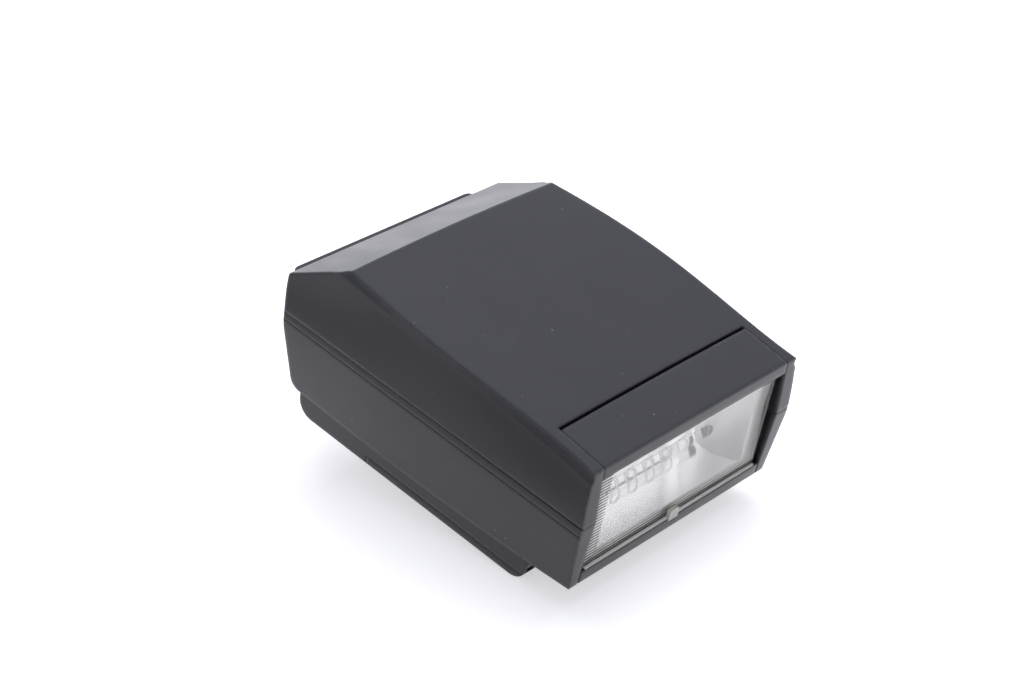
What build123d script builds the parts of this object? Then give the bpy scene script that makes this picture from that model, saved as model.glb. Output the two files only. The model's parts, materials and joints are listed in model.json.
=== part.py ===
from build123d import *
import os
from math import cos, radians, sin, tan

os.makedirs("parts", exist_ok=True)

# Compact shoe-mount flash. Millimetres, +Z up, the window looks along -Y.
# The origin is the middle of the shoe foot's underside.

# ---------------------------------------------------------------- driving dimensions
cell_diameter = 14.5        # four cells lie side by side, and the widths follow from them
cell_length = 50.5
cell_nub_radius = 2.6
cell_nub_length = 1.3
cell_gap = 0.15
cell_count = 4
cell_room = 0.675          # beside the row of cells, at each end
pedestal_wall = 1.3        # beside the battery bay
pedestal_inset = 3.8       # the pedestal's sides stand in from the rim
floor_inset = 2.0          # and so does the lower shell's floor
cheek_width = 4.4          # the case beside the sliding head
bay_half_width = (cell_count * cell_diameter + (cell_count - 1) * cell_gap) / 2 + cell_room
pedestal_half_width = bay_half_width + pedestal_wall
half_width = pedestal_half_width + pedestal_inset
body_width = 2 * half_width
front_reach = 76.5         # foot centre forward to the cheeks' front edge
rear_reach = 17.5          # foot centre back to the housing's rear wall
wall = 2.0                 # moulded wall of both shells
seam_z = 38.2              # parting line above the foot's underside
rim_height = 2.3           # plain band of the lower shell under the parting line
pedestal_z = 9.5           # underside of the battery pedestal

crease_front_z = 52.5      # top face's side edge at the front
crease_rear_z = 58.5       # the same edge at the crest, where the rear bevel starts
crease_bulge = 1.1         # how far that edge arches above a straight line
crest_y = -0.6             # where the top face meets the rear bevel
bevel_foot_z = 48.3        # where the rear bevel meets the rear wall
crown_front = 0.15         # crown across the top face at the front
crown_rear = 1.1           # and at the crest
top_edge_radius = 0.55     # rounding along the top face's side and front edges
bevel_edge_radius = 0.45   # and along the rear bevel's side edges
eave_height = 0.75         # upright edge of the top face, over a shadow line
shadow_rear = (0.1, 0.3)   # depth and height of the line under that edge, at the crest
shadow_front = (0.35, 1.2)  # and at the front, where the line widens
shoulder_height = 1.9      # soft shoulder of the side under the line
shoulder_share = 0.35      # shoulder's share of the side's inward slope
rear_corner_radius = 0.5   # plan radius of the two rear corners
inner_corner_radius = 0.5  # and of the walls' inner corners
under_rear_radius = 3.0    # lower shell's rounding under the rear wall

floor_front_z = 20.0       # underside of the lower shell at the front
floor_mid_z = 17.0         # and at its lowest, behind the middle
floor_rear_z = 17.6
floor_half_width = half_width - floor_inset
floor_front_y = -75.1
floor_rear_y = 14.3

pedestal_front_y = -61.6
pedestal_rear_y = 13.4
pedestal_nose_radius = 4.2
pedestal_heel_radius = 4.5
pedestal_edge_radius = 0.4

# the sliding head between the cheeks
head_half_width = half_width - cheek_width
head_seam = 0.15           # seam beside the head
slot_rear_y = -62.2        # front edge of the fixed top, behind the slot
slot_width = 0.95
flap_thickness = 1.9
cheek_lean = 0.6           # how far the cheeks lean back over the cover's front height
head_travel = 12.0
sleeve_thickness = 1.2
sleeve_drop = 0.5          # gap between the sleeve and the shell above it
sleeve_rear_y = -46.0
sleeve_low_z = 29.4        # the sleeve's sides stay above the battery box

# window and light source
window_low_z = 22.9
window_high_z = 49.6
lens_front_y = -74.6       # window's outer face at mid height
lens_thickness = 1.9
lens_lean = -1.0           # degrees the window leans back
lens_overlap = 1.0         # how far the window reaches behind each lip
lens_half_width = head_half_width - 1.3
groove_pitch = 0.87
groove_depth = 0.35
reflector_front_y = -71.8
reflector_depth = 15.5
reflector_half_height = 11.1
reflector_skin = 0.5
bowl_angle = radians(50)    # sweep of the trough's round bottom, to each side
reflector_half_front = 25.3
reflector_half_back = 19.5
tube_radius = 1.8
tube_set_back = 3.4        # tube axis in front of the trough's vertex
tube_half_length = 27.0
carrier_half_width = head_half_width - 1.7
carrier_step_y = -60.6

# battery bay: four cells side by side
cell_front_y = -57.7
box_wall = 1.2
box_top_z = 28.0
box_low_z = 14.2
contact_room = 3.4         # behind the cells, for their leaf springs
contact_strip = 0.3
door_thickness = 2.2
door_rear_y = -10.2
door_seam = 0.15
door_travel = 48.0

# shoe foot
foot_width = 18.6
foot_length = 18.0
foot_thickness = 2.0
neck_width = 12.5
rail_gap = 2.3             # room over the foot for the shoe's rails
washer_thickness = 1.0
washer_radius = 11.5
wheel_radius = 12.6
wheel_thickness = 3.3
wheel_teeth = 36
running_gap = 0.05

# control panel
panel_half_width = half_width - 5.7
panel_low_z = 24.2
panel_high_z = 45.0
panel_depth = 4.7
panel_skin = 1.4
button_travel = 0.8

bore_clearance = 0.05
fit_gap = 0.15

# ---------------------------------------------------------------- derived places
front_y = -front_reach
rear_y = rear_reach
slot_front_y = slot_rear_y - slot_width
panel_face_y = rear_y + panel_depth


def along_top(y):
    """How far a station lies from the front edge to the crest, 0 to 1."""
    return (y - front_y) / (crest_y - front_y)


def crease_z(y):
    """Height of the top face's side edge at a station."""
    t = along_top(y)
    straight = crease_front_z + (crease_rear_z - crease_front_z) * t
    return straight + 4 * crease_bulge * t * (1 - t)


def crown(y):
    """Extra height of the top face on the centre line."""
    return crown_front + (crown_rear - crown_front) * along_top(y)


# half widths of the top face at its stations, front to rear
top_stations = [
    (front_y - 2, half_width - 0.7),
    (-45, half_width - 0.4),
    (-15, half_width - 0.8),
    (-2, half_width - 2.1),
    (rear_y + 3, half_width - 3.6),
]


def cover_section(y, crease_half, skin):
    """One upright cross-section of the upper shell, skin inside its outer surface.

    From the parting line up: the side, a soft shoulder, a shadow line, the top face's upright
    edge and the crowned top face.
    """
    ahead = 1 - along_top(y)
    shadow_depth, shadow_height = (
        rear + (front - rear) * ahead for rear, front in zip(shadow_rear, shadow_front)
    )
    foot = half_width - skin
    edge = crease_half - skin
    edge_z = crease_z(y) - skin
    eave_z = edge_z - eave_height
    neck = edge - shadow_depth
    neck_z = eave_z - shadow_height
    shoulder = edge + (foot - edge) * shoulder_share
    shoulder_z = neck_z - shoulder_height
    turn = neck + 0.75 * (shoulder - neck)
    turn_z = neck_z - 0.35 * shoulder_height
    mid = foot - (foot - shoulder) / 4
    mid_z = (seam_z + shoulder_z) / 2
    with BuildSketch(Plane.XZ.offset(-y)) as section:
        with BuildLine():
            Line((-foot, seam_z), (foot, seam_z))
            ThreePointArc((foot, seam_z), (mid, mid_z), (shoulder, shoulder_z))
            ThreePointArc((shoulder, shoulder_z), (turn, turn_z), (neck, neck_z))
            Polyline((neck, neck_z), (neck, eave_z), (edge, eave_z), (edge, edge_z))
            ThreePointArc((edge, edge_z), (0, edge_z + crown(y)), (-edge, edge_z))
            Polyline((-edge, edge_z), (-edge, eave_z), (-neck, eave_z), (-neck, neck_z))
            ThreePointArc((-neck, neck_z), (-turn, turn_z), (-shoulder, shoulder_z))
            ThreePointArc((-shoulder, shoulder_z), (-mid, mid_z), (-foot, seam_z))
        make_face()
    return section.sketch


def rear_plan(z, half, front, rear, skin):
    """Plan with square front corners and rounded rear corners."""
    corner = max(rear_corner_radius - skin, inner_corner_radius)
    x = half - skin
    y = rear - skin
    with BuildSketch(Plane.XY.offset(z)) as plan:
        with BuildLine():
            Polyline((-x, y - corner), (-x, front), (x, front), (x, y - corner))
            TangentArc((x, y - corner), (x - corner, y), tangent=(0, 1))
            Line((x - corner, y), (-x + corner, y))
            TangentArc((-x + corner, y), (-x, y - corner), tangent=(-1, 0))
        make_face()
    return plan.sketch


# the bevel's slope, from the crest down to the rear wall
bevel_run = rear_y - crest_y
bevel_fall = crease_rear_z - bevel_foot_z


def above_bevel(skin):
    """Everything over the rear bevel: crowned along its crest, straight along its foot."""
    ahead_y = crest_y - bevel_run
    ahead_z = crease_rear_z + bevel_fall - skin
    foot_z = bevel_foot_z - skin
    x = half_width + 1
    roof = 2 * body_width
    with BuildSketch(Plane.XZ.offset(-ahead_y)) as crested:
        with BuildLine():
            ThreePointArc((-x, ahead_z), (0, ahead_z + 2 * crown_rear), (x, ahead_z))
            Polyline((x, ahead_z), (x, roof), (-x, roof), (-x, ahead_z))
        make_face()
    with BuildSketch(Plane.XZ.offset(-rear_y)) as straight:
        with BuildLine():
            Polyline((-x, foot_z), (x, foot_z), (x, roof), (-x, roof), close=True)
        make_face()
    with BuildPart() as cutter:
        loft([crested.sketch, straight.sketch], ruled=True)
    return cutter.part


def cover_form(skin, front):
    """Solid form of the upper shell, skin inside its outer surface."""
    with BuildPart() as form:
        loft([cover_section(y, crease_half, skin) for y, crease_half in top_stations])
        plan = rear_plan(seam_z, half_width, front, rear_y, skin)
        extrude(plan, amount=crease_rear_z, mode=Mode.INTERSECT)
        add(above_bevel(skin), mode=Mode.SUBTRACT)
    return form.part


window_mid_z = (window_low_z + window_high_z) / 2
head_room = head_half_width + head_seam


def cheek_y(z):
    """Front of the cheeks at a height: two planes that meet at the parting line."""
    if z > seam_z:
        return front_y + cheek_lean * (z - seam_z) / (crease_front_z - seam_z)
    return front_y + (floor_front_y - front_y) * (seam_z - z) / (seam_z - floor_front_z)


def housing_form(skin, front):
    """Solid form of the lower shell without its pedestal, skin inside its surface."""
    rim_low = seam_z - rim_height
    low = floor_mid_z - 1
    low_front = front + (floor_front_y - front_y)
    rear = rear_y - skin
    heel = (floor_rear_y - skin, floor_rear_z + skin)
    with BuildPart() as form:
        rim = rear_plan(rim_low, half_width, front, rear_y, skin)
        base = rear_plan(low, floor_half_width, low_front, rear_y, skin)
        loft([base, rim], ruled=True)
        extrude(rim, amount=rim_height)
        with BuildSketch(Plane.YZ) as profile:
            with BuildLine():
                ThreePointArc((front_y - 5, floor_front_z + 0.3 + skin), (-28, floor_mid_z + skin), heel)
                Polyline(
                    heel, (rear, rim_low), (rear, seam_z), (front_y - 5, seam_z),
                    (front_y - 5, floor_front_z + 0.3 + skin),
                )
            make_face()
            fillet(
                profile.vertices().sort_by_distance((0, *heel))[0],
                max(under_rear_radius - skin, inner_corner_radius),
            )
        extrude(amount=body_width, both=True, mode=Mode.INTERSECT)
    return form.part


def front_trim():
    """Everything in front of the cheeks' two leaning planes."""
    with BuildPart() as trim:
        with BuildSketch(Plane.YZ):
            with BuildLine():
                Polyline(
                    (cheek_y(0), 0), (front_y, seam_z), (cheek_y(body_width), body_width),
                    (front_y - 10, body_width), (front_y - 10, 0), close=True,
                )
            make_face()
        extrude(amount=body_width, both=True)
    return trim.part


def block(x0, x1, y0, y1, z0, z1):
    """Plain block between two corners, used as a cutter or a limit."""
    with BuildPart() as cutter:
        with Locations(((x0 + x1) / 2, (y0 + y1) / 2, (z0 + z1) / 2)):
            Box(x1 - x0, y1 - y0, z1 - z0)
    return cutter.part


with BuildPart() as cover_shape:
    add(cover_form(0, front_y - 1))
    add(front_trim(), mode=Mode.SUBTRACT)
    long_edges = cover_shape.edges().filter_by(lambda e: e.length > half_width)
    creases = long_edges.filter_by(lambda e: e.length > 2 * half_width).sort_by(Axis.Z)[-2:]
    brow = long_edges.filter_by(lambda e: e.center().Y < front_y + 2).sort_by(Axis.Z)[-1]
    fillet([*creases, brow], top_edge_radius)
    bevel_sides = cover_shape.edges().filter_by(
        lambda e: bevel_run / 3 < e.length < bevel_run and e.center().Z > bevel_foot_z + 1
    )
    fillet(bevel_sides.filter_by(lambda e: crest_y < e.center().Y < rear_y - 1), bevel_edge_radius)
cover_outer = cover_shape.part

housing_outer = housing_form(0, front_y) - front_trim()

head_space = block(-head_room, head_room, front_y - 5, slot_rear_y, 0, body_width)
cavity_top = cover_form(wall, slot_rear_y)
cavity_low = housing_form(wall, slot_rear_y - (floor_front_y - front_y))


def pedestal_form(skin):
    """Solid form of the battery pedestal: rounded nose, rounded heel."""
    low = pedestal_z + skin
    front = pedestal_front_y + skin
    rear = pedestal_rear_y - skin
    nose = pedestal_nose_radius - skin
    heel = pedestal_heel_radius - skin
    half = pedestal_half_width - skin
    with BuildPart() as form:
        with BuildSketch(Plane.YZ):
            with BuildLine():
                FilletPolyline(
                    (front, floor_mid_z + wall), (front + 0.8, low), (rear, low), (rear, floor_mid_z + wall),
                    radius=[nose, heel],
                )
                Line((rear, floor_mid_z + wall), (front, floor_mid_z + wall))
            make_face()
        extrude(amount=half, both=True)
        fillet(
            form.edges().filter_by(
                lambda e: abs(e.center().X) > half - 0.1 and e.center().Z < floor_mid_z + wall - 0.1
            ),
            pedestal_edge_radius,
        )
    return form.part


pedestal_outer = pedestal_form(0)

# ---------------------------------------------------------------- shells
opening_half_width = panel_half_width - 3.8
opening_low_z = panel_low_z + 1.7
opening_high_z = panel_high_z - 1.6
panel_opening = block(
    -opening_half_width, opening_half_width, rear_y - 8, rear_y + 1, opening_low_z, opening_high_z,
)
boss_radius = 2.7
boss_low_z = 22.0
boss_x = 27.0
boss_y = 8.0
screw_radius = 1.0
screw_bore = 1.1
counterbore_radius = 2.4
bosses = [(-boss_x, boss_y), (boss_x, boss_y)]
panel_screw_x = panel_half_width - 2.0
panel_screw_low_z = 27.2
panel_screw_high_z = 41.8
panel_screw_places = [
    (x, z) for x in (-panel_screw_x, panel_screw_x) for z in (panel_screw_low_z, panel_screw_high_z)
]
spot_radius = 2.2
low_seat_y = 13.9                    # the lower pair's heads bear on spot faces in the sloping wall


def side_line(low_z, rear_height, front_height, depth):
    """Cutter for a line along the shells' sides and rear, opening from rear to front."""
    with BuildPart() as cutter:
        with BuildSketch(Plane.YZ):
            with BuildLine():
                Polyline(
                    (front_y - 1, low_z), (rear_y + 1, low_z), (rear_y + 1, low_z + rear_height),
                    (front_y - 1, low_z + front_height), close=True,
                )
            make_face()
        extrude(amount=body_width, both=True)
        inside = rear_plan(low_z - 1, half_width - depth, front_y - 2, rear_y - depth, 0)
        extrude(inside, amount=rear_height + front_height + 2, mode=Mode.SUBTRACT)
    return cutter.part


def panel_screw_bores():
    """Clearance holes for the control panel's four screws, with spot faces for the lower pair."""
    with BuildPart() as bores:
        with BuildSketch(Plane.XZ.offset(-(rear_y + 1))):
            with Locations(*panel_screw_places):
                Circle(screw_bore)
        extrude(amount=8)
        with BuildSketch(Plane.XZ.offset(-low_seat_y)):
            with Locations((-panel_screw_x, panel_screw_low_z), (panel_screw_x, panel_screw_low_z)):
                Circle(spot_radius)
        extrude(amount=3)
    return bores.part


screw_bores = panel_screw_bores()
seam_depth = 0.35
seam_rear_height = 0.08
seam_front_height = 0.5              # the parting line opens towards the front

with BuildPart() as top_cover:
    add(cover_outer)
    add(cavity_top, mode=Mode.SUBTRACT)
    add(head_space, mode=Mode.SUBTRACT)
    with BuildSketch(Plane.XY.offset(boss_low_z)):
        with Locations(*bosses):
            Circle(boss_radius)
    extrude(until=Until.NEXT)
    with BuildSketch(Plane.XY.offset(boss_low_z)):
        with Locations(*bosses):
            Circle(screw_bore)
    extrude(amount=12, mode=Mode.SUBTRACT)
    add(panel_opening, mode=Mode.SUBTRACT)
    add(screw_bores, mode=Mode.SUBTRACT)
    add(side_line(seam_z, seam_rear_height, seam_front_height, seam_depth), mode=Mode.SUBTRACT)
    add(
        block(-half_width, half_width, front_y - 1, front_y + seam_depth, seam_z, seam_z + seam_rear_height),
        mode=Mode.SUBTRACT,
    )
top_cover.part.label = "top_cover"
export_step(top_cover.part, "parts/top_cover.step")

pedestal_floor = 2.5
tub_rear_y = pedestal_rear_y - wall
floor_inside_z = pedestal_z + pedestal_floor
bay_front_y = pedestal_front_y + wall
door_high_z = pedestal_z + door_thickness
shelf_z = 21.0
shelf_front_y = -52.0
shelf_rear_y = -12.0
rib_low_z = 33.4
rib_high_z = 34.6
rib_depth = 0.3                      # how far the guide ribs enter the sleeve's grooves
rail_inner_x = 28.2
rail_outer_x = 29.7
rail_high_z = 13.6
hook_x = 30.4
hook_low_z = 12.75
hook_high_z = 13.5
rim_line_depth = 0.3
rim_line_height = 0.25
wire_hole_radius = 3.0
foot_screw_places = [(-4.6, -4.6), (4.6, -4.6), (-4.6, 4.6), (4.6, 4.6)]
foot_screw_radius = 0.9

with BuildPart() as lower_housing:
    add(housing_outer)
    add(pedestal_outer)
    add(cavity_low, mode=Mode.SUBTRACT)
    add(head_space, mode=Mode.SUBTRACT)
    # the pedestal is a tub: open to the door in front, floored behind it
    add(
        block(-bay_half_width, bay_half_width, bay_front_y, tub_rear_y, floor_inside_z, shelf_z),
        mode=Mode.SUBTRACT,
    )
    add(
        block(-half_width, half_width, pedestal_front_y - 1, door_rear_y, pedestal_z - 1, door_high_z + door_seam),
        mode=Mode.SUBTRACT,
    )
    add(
        block(-bay_half_width, bay_half_width, bay_front_y, door_rear_y, pedestal_z - 1, shelf_z),
        mode=Mode.SUBTRACT,
    )
    for side in (-1, 1):
        inner = side * (rail_inner_x - 2 * fit_gap)
        outer = side * (hook_x + fit_gap)
        # runners for the door's hooked rails, and a way through the nose for them
        add(
            block(
                min(side * bay_half_width, outer), max(side * bay_half_width, outer),
                bay_front_y - 1, door_rear_y, hook_low_z - fit_gap, hook_high_z + fit_gap,
            ),
            mode=Mode.SUBTRACT,
        )
        add(
            block(
                min(inner, outer), max(inner, outer),
                pedestal_front_y - 1, bay_front_y + 1, door_high_z, rail_high_z + fit_gap,
            ),
            mode=Mode.SUBTRACT,
        )
        # shelf that carries the battery box, and guide rib for the sliding head
        for near, far, y0, y1, z0, z1 in (
            (bay_half_width, half_width, shelf_front_y, shelf_rear_y, floor_mid_z + 1, shelf_z),
            (head_half_width - fit_gap - rib_depth, half_width, slot_rear_y, sleeve_rear_y + 2, rib_low_z, rib_high_z),
        ):
            reach = block(min(side * near, side * far), max(side * near, side * far), y0, y1, z0, z1)
            add(reach & cavity_low)
    # rear screw posts, drilled from below
    with BuildSketch(Plane.XY.offset(floor_inside_z)):
        with Locations(*bosses):
            Circle(boss_radius)
    extrude(amount=boss_low_z - fit_gap - floor_inside_z)
    with BuildSketch(Plane.XY.offset(pedestal_z - 1)):
        with Locations(*bosses):
            Circle(screw_bore)
    extrude(amount=boss_low_z, mode=Mode.SUBTRACT)
    with BuildSketch(Plane.XY.offset(pedestal_z - 1)):
        with Locations(*bosses):
            Circle(counterbore_radius)
    extrude(amount=boss_low_z - 4 - pedestal_z + 1, mode=Mode.SUBTRACT)
    with BuildSketch(Plane.XY.offset(pedestal_z - 1)):
        Circle(wire_hole_radius)
        with Locations(*foot_screw_places):
            Circle(foot_screw_radius + fit_gap)
    extrude(amount=pedestal_floor + 2, mode=Mode.SUBTRACT)
    add(panel_opening, mode=Mode.SUBTRACT)
    add(screw_bores, mode=Mode.SUBTRACT)
    add(
        side_line(seam_z - rim_height, rim_line_height, rim_line_height, rim_line_depth),
        mode=Mode.SUBTRACT,
    )
lower_housing.part.label = "lower_housing"
export_step(lower_housing.part, "parts/lower_housing.step")

# ---------------------------------------------------------------- sliding head
head_inner_x = head_half_width - 1.4
head_front_limit = front_y - 5
flange_thickness = 0.5
flange_rear_y = reflector_front_y
flange_half_width = lens_half_width
lip_half_width = lens_half_width + lens_overlap
side_wall_y = -72.0        # the head's sides are cut back beside the window
lens_height = window_high_z - window_low_z + 2 * lens_overlap
lens_plane = Plane(
    origin=(0, lens_front_y, window_mid_z),
    x_dir=(1, 0, 0),
    z_dir=(0, -cos(radians(lens_lean)), sin(radians(lens_lean))),
)


def behind_lens(gap):
    """Everything behind the window's outer face, less a gap in front of it."""
    with BuildPart() as room:
        with BuildSketch(lens_plane.offset(gap)):
            Rectangle(2 * body_width, 2 * body_width)
        extrude(amount=-2 * body_width)
    return room.part


def head_form(skin, front):
    """The shells' form between the cheeks, skin inside its outer surface."""
    top = cover_form(skin, front)
    low = housing_form(skin, front)
    return top + low


behind = behind_lens(0)
tunnel = head_form(flap_thickness, front_y - 1) & block(
    -head_inner_x, head_inner_x, head_front_limit, slot_front_y + 1, 0, body_width,
) & behind
lens_pocket = block(
    -lens_half_width - fit_gap, lens_half_width + fit_gap, head_front_limit, flange_rear_y,
    window_low_z - lens_overlap - fit_gap, window_high_z + lens_overlap + fit_gap,
) & behind
sleeve_join_y = slot_front_y - 2.6
sleeve_x = head_half_width - 0.2
sleeve_edge_z = crease_z(slot_rear_y) - wall - sleeve_drop
sleeve_crown = crown(slot_rear_y)


def sleeve_profile(inset):
    """Cross-section of the sleeve, inset from its outside: upright sides under a crowned roof."""
    x = sleeve_x - inset
    edge = sleeve_edge_z - inset
    with BuildSketch(Plane.XZ.offset(-sleeve_join_y)) as profile:
        with BuildLine():
            Polyline((-x, edge), (-x, sleeve_low_z), (x, sleeve_low_z), (x, edge))
            ThreePointArc((x, edge), (0, edge + sleeve_crown), (-x, edge))
        make_face()
    return profile.sketch


clip_half_width = 1.6
clip_low_z = window_low_z - 0.6
clip_high_z = window_low_z + 2.2

with BuildPart() as head_frame:
    add(cover_outer)
    add(housing_outer)
    add(
        block(-head_half_width, head_half_width, head_front_limit, slot_front_y, 0, body_width),
        mode=Mode.INTERSECT,
    )
    add(tunnel, mode=Mode.SUBTRACT)
    add(lens_pocket, mode=Mode.SUBTRACT)
    add(
        block(-half_width, half_width, head_front_limit, side_wall_y, window_low_z, window_high_z),
        mode=Mode.SUBTRACT,
    )
    for side in (-1, 1):
        near = side * lip_half_width
        far = side * half_width
        add(
            block(min(near, far), max(near, far), head_front_limit, slot_front_y, 0, window_low_z),
            mode=Mode.SUBTRACT,
        )
    # the sleeve keeps the case shut while the head is out
    add(cover_outer & block(-sleeve_x, sleeve_x, sleeve_join_y, slot_front_y, sleeve_edge_z - sleeve_thickness, body_width))
    extrude(sleeve_profile(0) - sleeve_profile(sleeve_thickness), amount=sleeve_join_y - sleeve_rear_y)
    for side in (-1, 1):
        groove_near = side * (sleeve_x - 2 * rib_depth)
        groove_far = side * (sleeve_x + 1)
        add(
            block(
                min(groove_near, groove_far), max(groove_near, groove_far),
                slot_rear_y - 0.3, sleeve_rear_y, rib_low_z - 2 * fit_gap, rib_high_z + 2 * fit_gap,
            ),
            mode=Mode.SUBTRACT,
        )
    # notch in the lower lip for the window's clip
    add(
        block(
            -clip_half_width - fit_gap, clip_half_width + fit_gap, head_front_limit, lens_front_y,
            clip_low_z - fit_gap, window_low_z,
        ),
        mode=Mode.SUBTRACT,
    )
head_frame.part.label = "head_frame"
export_step(head_frame.part, "parts/head_frame.step")

# clear window: smooth outside, saw-tooth prisms across its back
groove_total = int(lens_height / groove_pitch) - 1
groove_start = -groove_total * groove_pitch / 2
groove_floor = lens_thickness - groove_depth
lens_section = Plane(
    origin=(0, lens_front_y, window_mid_z),
    x_dir=(0, cos(radians(lens_lean)), -sin(radians(lens_lean))),
    z_dir=(1, 0, 0),
)
with BuildPart() as lens_panel:
    with BuildSketch(lens_section):
        with BuildLine():
            Polyline(
                (lens_thickness, groove_start), (lens_thickness, -lens_height / 2), (0, -lens_height / 2),
                (0, lens_height / 2), (lens_thickness, lens_height / 2), (lens_thickness, -groove_start),
            )
            for k in range(groove_total):
                low = groove_start + k * groove_pitch
                Polyline(
                    (lens_thickness, low), (groove_floor, low + groove_pitch / 5),
                    (lens_thickness, low + groove_pitch),
                )
        make_face()
    extrude(amount=lens_half_width, both=True)
lens_panel.part.label = "lens_panel"
export_step(lens_panel.part, "parts/lens_panel.step")

with BuildPart() as lens_clip:
    add(
        block(-clip_half_width, clip_half_width, cheek_y(clip_low_z) - 0.2, lens_front_y, clip_low_z, clip_high_z)
        - behind_lens(0)
    )
    fillet(lens_clip.edges().filter_by(Axis.Y).group_by(Axis.Z)[-1], 0.6)
lens_clip.part.label = "lens_clip"
export_step(lens_clip.part, "parts/lens_clip.step")

# silver trough, pressed in one piece with the flange round its mouth
vertex_y = reflector_front_y + reflector_depth
mouth_low_z = window_mid_z - reflector_half_height
mouth_high_z = window_mid_z + reflector_half_height
end_slope = (reflector_half_front - reflector_half_back) / reflector_depth


def trough(skin, reach):
    """Near-parabolic trough along X, skin outside the mirror face, narrowing rearwards in plan."""
    half = reflector_half_height + skin
    depth = reflector_depth + skin
    bowl_radius = half**2 / (2 * depth)
    with BuildPart() as form:
        with BuildSketch(Plane.YZ):
            with BuildLine():
                vertex = (reflector_front_y + depth, window_mid_z)
                turn_y = vertex[0] - bowl_radius * (1 - cos(bowl_angle))
                turn_z = bowl_radius * sin(bowl_angle)
                ThreePointArc((turn_y, window_mid_z + turn_z), vertex, (turn_y, window_mid_z - turn_z))
                for side in (1, -1):
                    TangentArc(
                        (turn_y, window_mid_z + side * turn_z), (reflector_front_y, window_mid_z + side * half),
                        tangent=(-sin(bowl_angle), side * cos(bowl_angle)),
                    )
                Line((reflector_front_y, window_mid_z - half), (reflector_front_y, window_mid_z + half))
            make_face()
        extrude(amount=reflector_half_front + 2, both=True)
        front = reflector_half_front + reach
        rear = front - end_slope * (depth + 1)
        with BuildSketch():
            with BuildLine():
                Polyline(
                    (-front, reflector_front_y), (front, reflector_front_y),
                    (rear, reflector_front_y + depth + 1), (-rear, reflector_front_y + depth + 1), close=True,
                )
            make_face()
        extrude(amount=body_width, mode=Mode.INTERSECT)
    return form.part


mirror_space = trough(0, 0)
cheek_thickness = 0.5
flange_low_z = window_low_z - lens_overlap
flange_high_z = window_high_z + lens_overlap
flange_front_y = flange_rear_y - flange_thickness

with BuildPart() as reflector:
    add(trough(reflector_skin, 0))
    add(
        block(
            -flange_half_width, flange_half_width, flange_front_y, flange_rear_y, flange_low_z, flange_high_z,
        )
    )
    add(mirror_space, mode=Mode.SUBTRACT)
    add(
        block(
            -reflector_half_front, reflector_half_front, flange_front_y - 1, reflector_front_y, mouth_low_z,
            mouth_high_z,
        ),
        mode=Mode.SUBTRACT,
    )
reflector.part.label = "reflector"
export_step(reflector.part, "parts/reflector.step")

tube_y = vertex_y - tube_set_back
sleeve_bore = 3.1
cheek_hole = tube_radius + bore_clearance
end_plates = (trough(reflector_skin, cheek_thickness + fit_gap) - trough(reflector_skin, fit_gap))
with BuildPart() as reflector_cheeks:
    add(end_plates)
    with BuildSketch(Plane.YZ):
        with Locations((tube_y, window_mid_z)):
            Circle(cheek_hole)
    extrude(amount=body_width, both=True, mode=Mode.SUBTRACT)
reflector_cheeks.part.label = "reflector_cheeks"
export_step(reflector_cheeks.part, "parts/reflector_cheeks.step")

# black carrier behind the trough; its foot steps up over the battery box
carrier_low_z = window_low_z + 0.1
carrier_high_z = window_high_z - 0.1
carrier_rear_y = vertex_y + 1.5
carrier_step_z = box_top_z + 0.2
carrier_gap = 0.1
with BuildPart() as reflector_carrier:
    with BuildSketch(Plane.YZ):
        with BuildLine():
            Polyline(
                (reflector_front_y, carrier_low_z), (carrier_step_y, carrier_low_z),
                (carrier_step_y, carrier_step_z), (carrier_rear_y, carrier_step_z),
                (carrier_rear_y, carrier_high_z), (reflector_front_y, carrier_high_z), close=True,
            )
        make_face()
    extrude(amount=carrier_half_width, both=True)
    add(trough(reflector_skin + carrier_gap, cheek_thickness + 2 * fit_gap), mode=Mode.SUBTRACT)
    with BuildSketch(Plane.YZ):
        with Locations((tube_y, window_mid_z)):
            Circle(sleeve_bore)
    extrude(amount=body_width, both=True, mode=Mode.SUBTRACT)
reflector_carrier.part.label = "reflector_carrier"
export_step(reflector_carrier.part, "parts/reflector_carrier.step")

# flash tube across the trough, with its end pins, sleeves and trigger wire
pin_radius = 0.5
pin_length = 1.6
wire_radius = 0.15
wire_pitch = 6.0
with BuildPart() as flash_tube:
    with BuildSketch(Plane.YZ):
        with Locations((tube_y, window_mid_z)):
            Circle(tube_radius)
    extrude(amount=tube_half_length, both=True)
    fillet(flash_tube.edges().filter_by(GeomType.CIRCLE), 0.7)
flash_tube.part.label = "flash_tube"
export_step(flash_tube.part, "parts/flash_tube.step")

with BuildPart() as tube_electrodes:
    for side in (-1, 1):
        with BuildSketch(Plane.YZ.offset(side * tube_half_length)):
            with Locations((tube_y, window_mid_z)):
                Circle(pin_radius)
        extrude(amount=side * pin_length)
tube_electrodes.part.label = "tube_electrodes"
export_step(tube_electrodes.part, "parts/tube_electrodes.step")

sleeve_half_inner = reflector_half_back + 3.8
with BuildPart() as tube_sleeves:
    for side in (-1, 1):
        with BuildSketch(Plane.YZ.offset(side * sleeve_half_inner)):
            with Locations((tube_y, window_mid_z)):
                Circle(sleeve_bore - fit_gap)
                Circle(tube_radius + bore_clearance, mode=Mode.SUBTRACT)
        extrude(amount=side * (tube_half_length - sleeve_half_inner))
tube_sleeves.part.label = "tube_sleeves"
export_step(tube_sleeves.part, "parts/tube_sleeves.step")

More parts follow.
